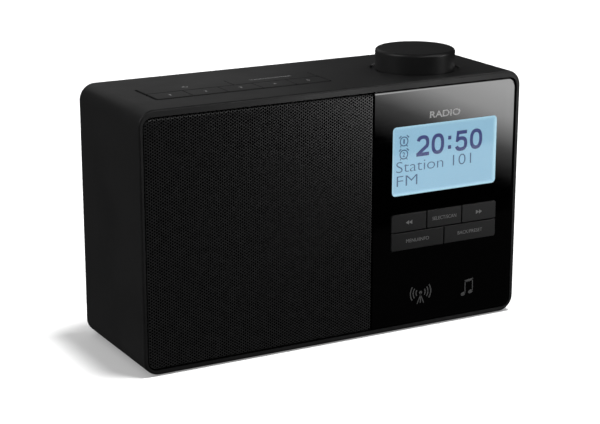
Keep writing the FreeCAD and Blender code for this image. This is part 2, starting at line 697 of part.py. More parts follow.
def top_board():
    board = box(TOP_BOARD_X, TOP_BOARD_Y, (TOP_BOARD_FACE - BOARD_THICK, TOP_BOARD_FACE))
    holes = [cylinder(p, 1.4, (TOP_BOARD_FACE - BOARD_THICK - 1, TOP_BOARD_FACE + 1), "z") for p in TOP_POSTS]
    return board.cut(Part.makeCompound(holes))


# ---- knob and encoder ----
def d_section(r, flat, ends):
    """A round bar along Z with one flat, on the knob's axis."""
    bar = cylinder((KNOB_X, KNOB_Y), r, ends, "z")
    return bar.cut(box((KNOB_X - 2 * r, KNOB_X + 2 * r), (KNOB_Y + flat, KNOB_Y + 2 * r), ends))


def tuning_knob():
    """A hollow cap with a rounded rim and a D-bored hub."""
    low = TOP - RECESS_DEPTH + KNOB_FLOAT
    high = TOP + KNOB_RISE
    axis = (KNOB_X, KNOB_Y)
    cap = cylinder(axis, KNOB_R, (low, high), "z")
    cap = cap.makeFillet(KNOB_ROUND, edges_where(cap, at_z(high)))
    cap = cap.cut(cylinder(axis, KNOB_R - KNOB_WALL, (low - 1, high - KNOB_WALL), "z"))
    hub = cylinder(axis, SHAFT_R + 2.4, (TOP + BUSHING_RISE + 0.4, high - KNOB_WALL + 0.5), "z")
    cap = cap.fuse(hub)
    rib_z = (TOP + BUSHING_RISE + 1.4, high - KNOB_WALL + 0.5)
    for i in range(6):
        rib = box((0, KNOB_R - KNOB_WALL + 0.5), (-0.6, 0.6), rib_z)
        rib.rotate(V(0, 0, 0), V(0, 0, 1), 60 * i)
        rib.translate(V(KNOB_X, KNOB_Y, 0))
        cap = cap.fuse(rib)
    bore = d_section(SHAFT_R + 0.05, SHAFT_FLAT + 0.05, (low, TOP + SHAFT_RISE + 0.1))
    return cap.removeSplitter().cut(bore)


def encoder_shaft():
    base = INNER_TOP - 1.5
    shoulder = TOP + BUSHING_RISE + 0.2
    turned = cylinder((KNOB_X, KNOB_Y), SHAFT_R, (base, shoulder), "z")
    return turned.fuse(d_section(SHAFT_R, SHAFT_FLAT, (shoulder, TOP + SHAFT_RISE))).removeSplitter()


def encoder_body():
    """The encoder's box and its threaded bushing, which passes through the cabinet's top."""
    half = ENCODER_SIDE / 2
    seat = INNER_TOP
    case = box((KNOB_X - half, KNOB_X + half), (KNOB_Y - half, KNOB_Y + half), (TOP_BOARD_FACE, seat))
    bushing = cylinder((KNOB_X, KNOB_Y), BUSHING_R, (seat - 0.5, TOP + BUSHING_RISE), "z")
    bore = cylinder((KNOB_X, KNOB_Y), SHAFT_R + 0.05, (seat - 1.6, TOP + BUSHING_RISE + 1), "z")
    return case.fuse(bushing).cut(bore)


def encoder_washer():
    floor = TOP - RECESS_DEPTH
    return ring((KNOB_X, KNOB_Y), WASHER_R, BUSHING_R + 0.1, (floor, floor + WASHER_THICK), "z")


def encoder_nut():
    low = TOP - RECESS_DEPTH + WASHER_THICK
    hexagon = [V(KNOB_X + NUT_R * math.cos(math.radians(60 * i)),
                 KNOB_Y + NUT_R * math.sin(math.radians(60 * i)), low) for i in range(7)]
    nut = Part.Face(Part.makePolygon(hexagon)).extrude(V(0, 0, NUT_THICK))
    return nut.cut(cylinder((KNOB_X, KNOB_Y), BUSHING_R + 0.02, (low - 1, low + NUT_THICK + 1), "z"))


# ---- speaker ----
def speaker_holes():
    reach = SPEAKER_EAR_R * math.sqrt(0.5)
    return [(SPEAKER_X + sx * reach, SPEAKER_Z + sz * reach) for sx in (-1, 1) for sz in (-1, 1)]


def basket_radius(y):
    """The basket skin's outer radius at y."""
    share = (y - FLANGE_BACK) / BASKET_DEEP
    return BASKET_TOP_R + (BASKET_END_R - BASKET_TOP_R) * share


def speaker_basket():
    axis = (SPEAKER_X, SPEAKER_Z)
    front, back, end = SPEAKER_FLANGE_FRONT, FLANGE_BACK, BASKET_END
    flange = cylinder(axis, SPEAKER_FLANGE_R, (front, back))
    for x, z in speaker_holes():
        flange = flange.fuse(cylinder((x, z), 4.2, (front, back)))
    s = BASKET_SKIN
    solid_cone = revolve_y([(0, back - 0.2), (BASKET_TOP_R, back - 0.2), (BASKET_TOP_R, back),
                            (BASKET_END_R, end), (0, end)], *axis)
    hollow = revolve_y([(0, front - 1), (BASKET_TOP_R - s, front - 1), (BASKET_TOP_R - s, back),
                        (BASKET_END_R - s, end - s), (0, end - s)], *axis)
    ledge = revolve_y([(basket_radius(SPIDER_Y + 1.0) - s + 0.3, SPIDER_Y),
                       (basket_radius(SPIDER_Y + 1.0) - s + 0.3, SPIDER_Y + 1.0),
                       (basket_radius(SPIDER_Y) - 3.2, SPIDER_Y + 1.0),
                       (basket_radius(SPIDER_Y) - 3.2, SPIDER_Y)], *axis)
    basket = flange.fuse(solid_cone).cut(hollow).fuse(ledge)
    windows = []
    for i in range(BASKET_WINDOWS):
        window = box((SPEAKER_X + 18, SPEAKER_X + 40), (back + 2.0, SPIDER_Y - 1.5),
                     (SPEAKER_Z - 8, SPEAKER_Z + 8))
        window.rotate(V(SPEAKER_X, 0, SPEAKER_Z), V(0, 1, 0), 360 * i / BASKET_WINDOWS)
        windows.append(window)
    holes = [cylinder(p, 1.6, (front - 1, back + 1)) for p in speaker_holes()]
    centre = cylinder(axis, GAP_R + 3.0, (end - s - 1, end + 1))
    return basket.cut(Part.makeCompound(windows + holes + [centre])).removeSplitter()


def speaker_gasket():
    return ring((SPEAKER_X, SPEAKER_Z), SPEAKER_FLANGE_R, SPEAKER_HOLE_R,
                (FRAME_BACK, SPEAKER_FLANGE_FRONT))


def speaker_surround():
    """The half-roll of rubber between the basket's flange and the cone."""
    mid = (SURROUND_OUT_R + SURROUND_IN_R) / 2 - 0.6
    y = CONE_FRONT
    roll_r = 2.4
    t = SURROUND_LAND

    def arc(r):
        return Part.Arc(V(SPEAKER_X + mid - r, y, SPEAKER_Z), V(SPEAKER_X + mid, y - r, SPEAKER_Z),
                        V(SPEAKER_X + mid + r, y, SPEAKER_Z)).toShape()

    def line(a, b):
        return Part.LineSegment(V(SPEAKER_X + a[0], a[1], SPEAKER_Z),
                                V(SPEAKER_X + b[0], b[1], SPEAKER_Z)).toShape()

    low, high = SURROUND_IN_R - 1.0, SURROUND_OUT_R - 0.4
    outline = [line((low, y), (mid - roll_r, y)), arc(roll_r), line((mid + roll_r, y), (high, y)),
               line((high, y), (high, y + t)), line((high, y + t), (mid + roll_r - t, y + t)),
               line((mid + roll_r - t, y + t), (mid + roll_r - t, y)), arc(roll_r - t),
               line((mid - roll_r + t, y), (mid - roll_r + t, y + t)),
               line((mid - roll_r + t, y + t), (low, y + t)), line((low, y + t), (low, y))]
    face = Part.Face(Part.Wire(Part.__sortEdges__(outline)))
    return face.revolve(V(SPEAKER_X, 0, SPEAKER_Z), V(0, 1, 0), 360)


def speaker_cone():
    rim = SURROUND_IN_R
    y = CONE_FRONT + SURROUND_LAND
    t = CONE_SKIN
    return revolve_y([(rim - 0.2, y), (rim + 0.4, y), (rim + 0.4, y + t), (rim - 0.4, y + t),
                      (CONE_NECK_R + t + 0.1, y + CONE_DEEP), (CONE_NECK_R + t + 0.1, y + CONE_DEEP + 1.0),
                      (CONE_NECK_R + 0.55, y + CONE_DEEP + 1.0), (CONE_NECK_R + 0.55, y + CONE_DEEP - 0.6)],
                     SPEAKER_X, SPEAKER_Z)


def voice_coil():
    start = CONE_FRONT + SURROUND_LAND + CONE_DEEP - 0.6
    return ring((SPEAKER_X, SPEAKER_Z), COIL_R + COIL_WALL, COIL_R, (start, start + COIL_LENGTH))


def speaker_dust_cap():
    """A shallow dome glued into the cone."""
    y = CONE_FRONT + SURROUND_LAND + CONE_DEEP - 4.0
    outer, skin, rise = 13.2, 0.5, 3.4
    sphere_r = (outer * outer + rise * rise) / (2 * rise)
    centre = V(SPEAKER_X, y - rise + sphere_r, SPEAKER_Z)
    dome = Part.makeSphere(sphere_r, centre).cut(Part.makeSphere(sphere_r - skin, centre))
    keep = cylinder((SPEAKER_X, SPEAKER_Z), outer, (y - rise - 1, y - 0.2))
    return dome.common(keep)


def speaker_spider():
    """The corrugated centring ring between the coil and the basket's ledge."""
    inner, outer = COIL_R + COIL_WALL, basket_radius(SPIDER_Y) - 1.6
    t, waves, height = 0.5, 3, 0.9
    count = waves * 2 + 1
    radii = [inner + (outer - inner) * i / count for i in range(count + 1)]
    base = SPIDER_Y - t
    lift = [0 if i % 2 == 0 or i == count else -height for i in range(count + 1)]
    upper = [(r, base + up) for r, up in zip(radii, lift)]
    lower = [(r, base + up + t) for r, up in zip(radii, lift)]
    return revolve_y(upper + lower[::-1], SPEAKER_X, SPEAKER_Z)


def speaker_top_plate():
    return ring((SPEAKER_X, SPEAKER_Z), BASKET_END_R - 0.5, GAP_R, (BASKET_END, BASKET_END + PLATE_THICK))


def speaker_magnet():
    start = BASKET_END + PLATE_THICK
    magnet = ring((SPEAKER_X, SPEAKER_Z), MAGNET_R, GAP_R + 2.0, (start, start + MAGNET_THICK))
    rims = [e for e in magnet.Edges if e.Curve.TypeId == "Part::GeomCircle"
            and e.Curve.Radius > MAGNET_R - 0.1]
    return magnet.makeChamfer(0.8, rims)


def speaker_yoke():
    """The back plate and the pole piece that stands in the coil."""
    axis = (SPEAKER_X, SPEAKER_Z)
    start = BASKET_END + PLATE_THICK + MAGNET_THICK
    plate = cylinder(axis, MAGNET_R - 3.0, (start, start + PLATE_THICK))
    return plate.fuse(cylinder(axis, POLE_R, (BASKET_END, start + 0.5))).removeSplitter()


# ---- main board and what is on it ----
def main_board():
    board = box(MAIN_BOARD_X, MAIN_BOARD_Y, (MAIN_BOARD_Z, MAIN_BOARD_FACE))
    holes = [cylinder(p, 1.4, (MAIN_BOARD_Z - 1, MAIN_BOARD_FACE + 1), "z") for p in main_board_posts()]
    return board.cut(Part.makeCompound(holes))


def tuner_shield():
    """The folded tin lid over the receiver circuit."""
    x, y, high, sheet = (22.0, 54.0), (-12.0, 12.0), 5.0, 0.4
    z = (MAIN_BOARD_FACE, MAIN_BOARD_FACE + high)
    lid = box(x, y, z).cut(box((x[0] + sheet, x[1] - sheet), (y[0] + sheet, y[1] - sheet),
                               (z[0] - 1, z[1] - sheet)))
    holes = [cylinder((x[0] + 6 + 6.6 * i, y[0] + 6 + 6 * j), 1.0, (z[1] - 1, z[1] + 1), "z")
             for i in range(4) for j in range(3)]
    return lid.cut(Part.makeCompound(holes))


def capacitors():
    cans = []
    for x, y in [(2.0, 14.0), (13.0, 14.0), (2.0, 3.0)]:
        can = cylinder((x, y), 4.0, (MAIN_BOARD_FACE, MAIN_BOARD_FACE + 12.0), "z")
        cans.append(can.makeFillet(0.6, edges_where(can, at_z(MAIN_BOARD_FACE + 12.0))))
    return solid_group(cans)


def board_chips():
    """The amplifier, the processor, the memory and the cable sockets."""
    sizes = [((60, 70), (-8, 2)), ((60, 67), (6, 12)), ((2, 12), (-14, -7)), ((72, 78), (-14, -10))]
    return solid_group([box(x, y, (MAIN_BOARD_FACE, MAIN_BOARD_FACE + 1.4)) for x, y in sizes])


def jack(x, z, nose_r, body_half, body_high, bore_r, bore_deep):
    """A socket on the board's rear edge with a round nose through the cover."""
    body_back = COVER_INNER - 0.1
    body = box((x - body_half, x + body_half), (body_back - bore_deep, body_back),
               (MAIN_BOARD_FACE, MAIN_BOARD_FACE + body_high))
    nose = cylinder((x, z), nose_r, (body_back - 0.5, JACK_NOSE_END))
    bore = cylinder((x, z), bore_r, (JACK_NOSE_END - bore_deep, JACK_NOSE_END + 1))
    return body.fuse(nose).removeSplitter().cut(bore)


def dc_jack():
    """The power inlet: a barrel socket with its centre pin."""
    socket = jack(DC_X, DC_Z, 4.0, 4.6, 11.0, DC_BORE_R, DC_BORE_DEEP)
    floor = JACK_NOSE_END - DC_BORE_DEEP
    pin = cylinder((DC_X, DC_Z), DC_PIN_R, (floor - 0.5, JACK_NOSE_END - 1.0))
    pin = pin.makeFillet(0.5, edges_where(pin, at_y(JACK_NOSE_END - 1.0)))
    return socket.fuse(pin)


def headphone_jack():
    return jack(PHONES_X, PHONES_Z, 3.0, 4.0, 8.4, PHONES_BORE_R, PHONES_BORE_DEEP)


def display_ribbon():
    back = DISPLAY_BOARD_FRONT + BOARD_THICK
    level = MAIN_BOARD_FACE + 0.4
    return flat_ribbon([(back + 0.2, 42.0), (back + 0.2, 34.0), (back + 4.6, 26.0),
                        (back + 4.6, level), (back + 12.0, level)], (36.0, 50.0), 0.3)


def top_ribbon():
    under = TOP_BOARD_FACE - BOARD_THICK - 0.2
    level = MAIN_BOARD_FACE + 0.4
    return flat_ribbon([(8.0, under), (19.0, under), (19.0, level), (12.0, level)], (60.0, 70.0), 0.3)


def speaker_wires():
    """The two leads from the speaker's terminals to the main board."""
    wires = []
    for i in range(2):
        dx = 3.0 * i
        route = [(-18.0 + dx, 0.0, SPEAKER_Z - 26.0), (-16.0 + dx, 4.0, 26.0),
                 (-9.0 + dx, 2.0, 19.0), (-7.0 + dx, -2.0, MAIN_BOARD_FACE + WIRE_R + 1.8),
                 (-7.0 + dx, -8.0, MAIN_BOARD_FACE + WIRE_R + 0.2)]
        wire, radii = routed_tube(route, WIRE_R)
        print('speaker wire bends, mm:', [round(r, 1) for r in radii])
        wires.append(wire)
    return solid_group(wires)


# ---- antenna ----
def antenna_foot():
    """The swivelling foot: journal, head and two ears for the hinge pin."""
    axis = (ANTENNA_X, ANTENNA_Z)
    journal = cylinder(axis, ANTENNA_JOURNAL_R, (COVER_INNER - 4.2, ANTENNA_HEAD[0] + 0.5))
    head = cylinder(axis, ANTENNA_HEAD_R, ANTENNA_HEAD)
    head = head.makeFillet(0.6, edges_where(head, at_y(ANTENNA_HEAD[1])))
    collar = cylinder(axis, ANTENNA_HEAD_R - 0.8, (COVER_INNER - 4.2, COVER_INNER - 2.3))
    foot = journal.multiFuse([head, collar])
    for side in (-1, 1):
        z = sorted(ANTENNA_Z + side * e for e in ANTENNA_EAR_Z)
        ear = cylinder((ANTENNA_X, ANTENNA_PIN_Y), ANTENNA_EAR_R, z, "z")
        web = box((ANTENNA_X - ANTENNA_EAR_R, ANTENNA_X + ANTENNA_EAR_R),
                  (ANTENNA_HEAD[1] - 0.8, ANTENNA_PIN_Y), z)
        foot = foot.multiFuse([ear, web])
    bore = cylinder((ANTENNA_X, ANTENNA_PIN_Y), ANTENNA_PIN_R + 0.02, (ANTENNA_Z - 9, ANTENNA_Z + 9), "z")
    return foot.removeSplitter().cut(bore)


def antenna_pin():
    reach = ANTENNA_EAR_Z[1]
    return cylinder((ANTENNA_X, ANTENNA_PIN_Y), ANTENNA_PIN_R, (ANTENNA_Z - reach, ANTENNA_Z + reach), "z")


def antenna_section(i):
    """One tube of the rod, along -X. The first has the hinge eye."""
    r_out, r_in = ANTENNA_TUBES[i]
    root = ANTENNA_X - ANTENNA_ROOT - i * ANTENNA_NEST
    end = ANTENNA_X - ANTENNA_ROOT - ANTENNA_TUBE_LENGTH - i * ANTENNA_STEP
    axis = (ANTENNA_PIN_Y, ANTENNA_Z)
    tube = cylinder(axis, r_out, (end, root), "x")
    if r_in:
        floor = root - (3.0 if i == 0 else 1.0)
        tube = tube.cut(cylinder(axis, r_in, (end - 1, floor), "x"))
    if i == 0:
        eye = cylinder((ANTENNA_X, ANTENNA_PIN_Y), 3.2, (ANTENNA_Z - ANTENNA_EYE_HALF,
                                                         ANTENNA_Z + ANTENNA_EYE_HALF), "z")
        neck = box((root - 0.5, ANTENNA_X), (ANTENNA_PIN_Y - 1.8, ANTENNA_PIN_Y + 1.8),
                   (ANTENNA_Z - ANTENNA_EYE_HALF, ANTENNA_Z + ANTENNA_EYE_HALF))
        hole = cylinder((ANTENNA_X, ANTENNA_PIN_Y), ANTENNA_PIN_R + 0.05, (ANTENNA_Z - 5, ANTENNA_Z + 5), "z")
        tube = tube.multiFuse([eye, neck]).removeSplitter().cut(hole)
    if i == len(ANTENNA_TUBES) - 1:
        tube = tube.fuse(antenna_tip()).removeSplitter()
    return tube


def antenna_tip():
    """The end knob, turned in one piece with the last section."""
    last = len(ANTENNA_TUBES) - 1
    start = ANTENNA_X - ANTENNA_ROOT - ANTENNA_TUBE_LENGTH - last * ANTENNA_STEP
    tip = cylinder((ANTENNA_PIN_Y, ANTENNA_Z), ANTENNA_TIP_R, (start - ANTENNA_TIP_LENGTH, start), "x")
    return tip.makeFillet(1.2, [e for e in tip.Edges if e.Curve.TypeId == "Part::GeomCircle"])


# ---- fasteners ----
def case_screws():
    return solid_group([pan_screw(V(x, COVER_OUTER - 1.2, z), V(0, -1, 0), 9.0) for x, z in BOSS_XZ])


def frame_screws():
    return solid_group([pan_screw(V(x, FRAME_FRONT + 1.7, z), V(0, 1, 0), 8.0) for x, z in BOSS_XZ])


def speaker_screws():
    return solid_group([pan_screw(V(x, FLANGE_BACK, z), V(0, -1, 0), 3.6) for x, z in speaker_holes()])


def board_screws():
    screws = [pan_screw(V(x, y, MAIN_BOARD_FACE), V(0, 0, -1), 6.0) for x, y in main_board_posts()]
    screws += [pan_screw(V(x, y, TOP_BOARD_FACE - BOARD_THICK), V(0, 0, 1), 6.0) for x, y in TOP_POSTS]
    back = DISPLAY_BOARD_FRONT + BOARD_THICK
    screws += [pan_screw(V(x, back, z), V(0, -1, 0), 4.2, shank_r=1.05) for x, z in display_posts()]
    return solid_group(screws)


def build():
    """Every node's shape by name."""
    makers = [cabinet, front_frame, rear_cover, speaker_grille, fascia_panel, display_lens,
              rubber_feet, lcd_glass, lcd_backlight, lcd_bezel, display_board, front_switches,
              top_board, top_switches, tuning_knob, encoder_shaft, encoder_body, encoder_washer,
              encoder_nut, speaker_basket, speaker_gasket, speaker_surround, speaker_cone,
              voice_coil, speaker_dust_cap, speaker_spider, speaker_top_plate, speaker_magnet,
              speaker_yoke, main_board, tuner_shield, capacitors, board_chips, dc_jack,
              headphone_jack, display_ribbon, top_ribbon, speaker_wires, antenna_foot,
              antenna_pin, case_screws, frame_screws, speaker_screws, board_screws]
    nodes = {make.__name__: make() for make in makers}
    for name, (x, z, lip_up) in front_key_boxes().items():
        nodes[name] = front_key(x, z, lip_up)
    for name, (x, y, lip_side) in top_key_boxes().items():
        nodes[name] = top_key(x, y, lip_side)
    for i in range(len(ANTENNA_TUBES)):
        nodes[f"antenna_section_{i + 1}"] = antenna_section(i)
    for shape in nodes.values():
        shape.translate(V(0, -sum(OVERALL_Y) / 2, 0))
    return nodes


def main():
    os.makedirs("parts", exist_ok=True)
    nodes = build()
    for name, shape in sorted(nodes.items()):
        shape.exportStep(f"parts/{name}.step")
        solids = shape.Solids
        good = shape.isValid() and all(s.isClosed() for s in solids)
        print(f"{name:22s} solids {len(solids):2d}  volume {shape.Volume:10.1f}  {'ok' if good else 'BAD'}")
    print(len(nodes), "nodes")


main()
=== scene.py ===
"""Looks for the tabletop radio: materials, the perforated grille, the printing and the display."""

import math

import bmesh
import bpy
from mathutils import Matrix, Vector


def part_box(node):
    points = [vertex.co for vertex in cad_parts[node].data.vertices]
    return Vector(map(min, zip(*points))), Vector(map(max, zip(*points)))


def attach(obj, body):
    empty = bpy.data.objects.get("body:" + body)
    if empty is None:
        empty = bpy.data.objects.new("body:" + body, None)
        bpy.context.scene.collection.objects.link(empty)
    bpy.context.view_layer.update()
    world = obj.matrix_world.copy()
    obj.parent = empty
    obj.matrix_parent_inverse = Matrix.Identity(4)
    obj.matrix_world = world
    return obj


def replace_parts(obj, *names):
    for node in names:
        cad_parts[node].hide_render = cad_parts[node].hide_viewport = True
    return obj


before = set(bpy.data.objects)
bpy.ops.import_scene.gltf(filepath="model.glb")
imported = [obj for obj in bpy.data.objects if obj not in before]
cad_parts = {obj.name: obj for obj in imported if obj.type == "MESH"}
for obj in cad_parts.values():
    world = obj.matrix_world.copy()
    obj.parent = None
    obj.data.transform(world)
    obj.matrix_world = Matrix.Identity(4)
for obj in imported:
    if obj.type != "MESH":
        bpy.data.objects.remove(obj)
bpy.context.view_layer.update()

MM = 0.001

# ---- camera: degrees and metres, but lens and sensor in mm ----
VIEW_AZIMUTH = -28.865
VIEW_ELEVATION = 16.158
VIEW_ROLL = 0.107
VIEW_DISTANCE = 0.84432
VIEW_TARGET = Vector((-0.0012, -0.0038, 0.0480))
LENS = 105.16
SENSOR = 36.0
SHIFT_X = -0.0026
SHIFT_Y = 0.026

# ---- grille sheet, in mm ----
HOLE_COLUMN_STEP = 1.078
HOLE_ROW_STEP = 1.379
HOLE_R = 0.50
HOLE_SIDES = 6
HOLE_DEPTH = 0.5
GRILLE_ROLL = 1.1           # radius of the rolled edge
GRILLE_CORNER = 3.4
GRILLE_SEAM_CORNER = 1.3    # on the fascia's side
GRILLE_BORDER = 0.75        # edge of the flat sheet to the nearest hole's centre
GRILLE_WELD = 0.002         # points nearer than this become one
GRILLE_SMOOTH_ANGLE = 50    # in degrees

PRINT_THICK = 0.03          # a printed mark's height above its surface, in mm
SEGMENT_THICK = 0.02        # a display segment's height above the glass, in mm


# ---- node helpers ----
def new_material(name, **inputs):
    """A Principled material, its node tree and its shader. Underscores in names are spaces."""
    material = bpy.data.materials.new(name)
    material.use_nodes = True
    tree = material.node_tree
    shader = tree.nodes["Principled BSDF"]
    for key, value in inputs.items():
        shader.inputs[key.replace("_", " ")].default_value = value
    return material, tree, shader


def object_coordinates(tree):
    """Where a point is on its piece, in metres."""
    return tree.nodes.new("ShaderNodeTexCoord").outputs["Object"]


def noise(tree, scale, detail=3.0, roughness=0.55, stretch=None):
    """A noise value from 0 to 1; scale is in features per metre."""
    node = tree.nodes.new("ShaderNodeTexNoise")
    node.inputs["Scale"].default_value = scale
    node.inputs["Detail"].default_value = detail
    node.inputs["Roughness"].default_value = roughness
    source = object_coordinates(tree)
    if stretch:
        mapping = tree.nodes.new("ShaderNodeMapping")
        mapping.inputs["Scale"].default_value = stretch
        tree.links.new(source, mapping.inputs["Vector"])
        source = mapping.outputs["Vector"]
    tree.links.new(source, node.inputs["Vector"])
    return node.outputs["Fac"]


def ramp(tree, source, stops):
    """Colours or greys by value: stops are (position, grey or colour)."""
    node = tree.nodes.new("ShaderNodeValToRGB")
    elements = node.color_ramp.elements
    while len(elements) < len(stops):
        elements.new(0.5)
    for element, (position, colour) in zip(elements, stops):
        element.position = position
        element.color = (colour, colour, colour, 1) if isinstance(colour, float) else (*colour, 1)
    tree.links.new(source, node.inputs["Fac"])
    return node.outputs["Color"]


def maths(tree, operation, a, b=0.0):
    """One sum of two values, each a number or a socket."""
    node = tree.nodes.new("ShaderNodeMath")
    node.operation = operation
    for socket, value in zip(node.inputs, (a, b)):
        if isinstance(value, (int, float)):
            socket.default_value = value
        else:
            tree.links.new(value, socket)
    return node.outputs["Value"]


def add_bump(tree, shader, height, distance):
    """Raises the surface by up to distance metres where height is 1."""
    node = tree.nodes.new("ShaderNodeBump")
    node.inputs["Distance"].default_value = distance
    node.inputs["Strength"].default_value = 1.0
    tree.links.new(height, node.inputs["Height"])
    tree.links.new(node.outputs["Normal"], shader.inputs["Normal"])


def vary_colour(tree, shader, source, colour, dark, light, stops=(0.3, 0.7), socket="Base Color"):
    """Runs a colour between two multiples of itself as source goes from one stop to the other."""
    shades = [tuple(min(c * factor, 1.0) for c in colour) for factor in (dark, light)]
    tree.links.new(ramp(tree, source, list(zip(stops, shades))), shader.inputs[socket])


def vary_roughness(tree, shader, source, smooth, rough, stops=(0.3, 0.7)):
    """Runs the roughness from smooth to rough as source goes from one stop to the other."""
    tree.links.new(ramp(tree, source, list(zip(stops, (smooth, rough)))), shader.inputs["Roughness"])


# ---- materials ----
GRAIN_SIZE = 0.35           # of the spark texture on moulded plastic, in mm


def moulded_plastic(name, colour, roughness, grain_deep=0.012, smudge=0.06, specular=0.5):
    """Spark-textured moulded plastic: a fine even grain and faint, broad changes of sheen."""
    material, tree, shader = new_material(name, Specular_IOR_Level=specular)
    vary_colour(tree, shader, noise(tree, 45, 4), colour, 0.86, 1.14)
    vary_roughness(tree, shader, noise(tree, 22, 5, 0.6), roughness - smudge, roughness + smudge)
    add_bump(tree, shader, noise(tree, 1000 / GRAIN_SIZE, 2, 0.5), grain_deep * MM)
    return material


def gloss_plastic(name, colour, roughness=0.045):
    """Polished black plastic with a faint ripple and fine wipe marks in its sheen."""
    material, tree, shader = new_material(name, IOR=1.5)
    shader.inputs["Base Color"].default_value = (*colour, 1)
    wipes = noise(tree, 420, 6, 0.7, stretch=(0.12, 1.0, 1.0))
    vary_roughness(tree, shader, wipes, roughness * 0.7, roughness * 1.9, stops=(0.35, 0.75))
    add_bump(tree, shader, noise(tree, 60, 2), 0.004 * MM)
    return material


def painted_metal(name, colour, roughness, specular=0.5):
    """Thin satin paint on sheet metal, with a little orange peel."""
    material, tree, shader = new_material(name, Specular_IOR_Level=specular)
    vary_colour(tree, shader, noise(tree, 260, 4), colour, 0.8, 1.25)
    vary_roughness(tree, shader, noise(tree, 900, 3), roughness - 0.06, roughness + 0.06)
    add_bump(tree, shader, noise(tree, 1600, 2), 0.01 * MM)
    return material


def bare_metal(name, colour, roughness, grain=(1.0, 1.0, 30.0)):
    """Metal with fine drawn or brushed lines, which run across the axis where grain is largest."""
    material, tree, shader = new_material(name, Metallic=1.0)
    lines = noise(tree, 300, 4, 0.6, stretch=grain)
    vary_colour(tree, shader, lines, colour, 0.85, 1.0, stops=(0.25, 0.75))
    vary_roughness(tree, shader, lines, roughness * 0.7, roughness * 1.3)
    add_bump(tree, shader, lines, 0.002 * MM)
    return material


def rubber(name, colour):
    """Matt rubber or foam with a fine dusty grain."""
    material, tree, shader = new_material(name, Specular_IOR_Level=0.3)
    vary_colour(tree, shader, noise(tree, 120, 4), colour, 0.8, 1.3)
    vary_roughness(tree, shader, noise(tree, 60, 3), 0.62, 0.82)
    add_bump(tree, shader, noise(tree, 1800, 3), 0.02 * MM)
    return material


def fibrous(name, colour, size):
    """Pressed paper, woven cloth or sintered ferrite, with fibres or grains of a size in mm."""
    material, tree, shader = new_material(name, Roughness=0.9)
    fibres = noise(tree, 1000 / size, 6, 0.75)
    vary_colour(tree, shader, fibres, colour, 0.6, 1.5)
    add_bump(tree, shader, fibres, 0.06 * MM)
    return material


def circuit_board(name):
    """Green solder mask over copper tracks, which show as a faintly raised pattern."""
    material, tree, shader = new_material(name, Roughness=0.35)
    tracks = tree.nodes.new("ShaderNodeTexBrick")
    tracks.inputs["Scale"].default_value = 180
    tracks.inputs["Mortar Size"].default_value = 0.035
    tracks.inputs["Color1"].default_value = (0.008, 0.07, 0.03, 1)
    tracks.inputs["Color2"].default_value = (0.01, 0.085, 0.035, 1)
    tracks.inputs["Mortar"].default_value = (0.02, 0.17, 0.07, 1)
    tree.links.new(object_coordinates(tree), tracks.inputs["Vector"])
    tree.links.new(tracks.outputs["Color"], shader.inputs["Base Color"])
    add_bump(tree, shader, tracks.outputs["Fac"], 0.03 * MM)
    return material


def clear_window(name):
    """Clear plastic with a touch of haze."""
    material, tree, shader = new_material(name, IOR=1.47, Specular_IOR_Level=0.02)
    shader.inputs["Base Color"].default_value = (0.93, 0.97, 1.0, 1)
    shader.inputs["Transmission Weight"].default_value = 1.0
    vary_roughness(tree, shader, noise(tree, 300, 5), 0.015, 0.06, stops=(0.4, 0.8))
    add_bump(tree, shader, noise(tree, 40, 2), 0.002 * MM)
    return material


LCD_COLOUR = (0.335, 0.552, 0.694)
# the paler blue at the window's edge is a painted highlight, not a colour of the backlight
LCD_EDGE_HIGHLIGHT_COLOUR = (0.50, 0.76, 0.87)
LCD_EDGE_FADE = 3.2         # in mm: the painted edge highlight ends LCD_EDGE_SHARE of this far from the window's edge
LCD_EDGE_SHARE = 0.55
LCD_DOT = 0.459             # pitch of the dot grid, in mm
LCD_DOT_CONTRAST = 0.07


def lit_display(name):
    """The lit display: even blue light with a painted highlight, paler towards the window's edge, under a
    grid of fine dots.
    """
    material, tree, shader = new_material(name, Roughness=0.25, Specular_IOR_Level=0.0)
    shader.inputs["Base Color"].default_value = (0.05, 0.08, 0.1, 1)
    low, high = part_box("display_lens")
    separate = tree.nodes.new("ShaderNodeSeparateXYZ")
    tree.links.new(object_coordinates(tree), separate.inputs["Vector"])
    edges = []
    for axis, index in (("X", 0), ("Z", 2)):
        middle = (low[index] + high[index]) / 2
        half = (high[index] - low[index]) / 2
        offset = maths(tree, "SUBTRACT", separate.outputs[axis], middle)
        edges.append(maths(tree, "SUBTRACT", half, maths(tree, "ABSOLUTE", offset)))
    inset = maths(tree, "MINIMUM", *edges)
    share = maths(tree, "DIVIDE", inset, LCD_EDGE_FADE * MM)
    cloud = maths(tree, "MULTIPLY", maths(tree, "SUBTRACT", noise(tree, 30, 2), 0.5), 0.25)
    # painted highlight: the glow runs paler near the window's edge, in place of light caught by the
    # window's edge
    glow = ramp(tree, maths(tree, "ADD", share, cloud),
                [(0.0, LCD_EDGE_HIGHLIGHT_COLOUR), (LCD_EDGE_SHARE, LCD_COLOUR)])
    depth = LCD_DOT_CONTRAST / 2
    lines = []
    for axis in ("X", "Z"):
        wave = maths(tree, "SINE", maths(tree, "MULTIPLY", separate.outputs[axis],
                                         2 * math.pi / (LCD_DOT * MM)))
        lines.append(maths(tree, "ADD", maths(tree, "MULTIPLY", wave, depth), 1 - depth))
    strength = maths(tree, "MULTIPLY", *lines)
    tree.links.new(glow, shader.inputs["Emission Color"])
    tree.links.new(strength, shader.inputs["Emission Strength"])
    return material


def display_ink(name, colour):
    """Dark liquid-crystal segments, which let a little of the backlight through."""
    material, tree, shader = new_material(name, Roughness=0.4)
    shader.inputs["Base Color"].default_value = (0.01, 0.01, 0.02, 1)
    shader.inputs["Emission Strength"].default_value = 1.0
    vary_colour(tree, shader, noise(tree, 500, 2), colour, 0.88, 1.0, socket="Emission Color")
    return material


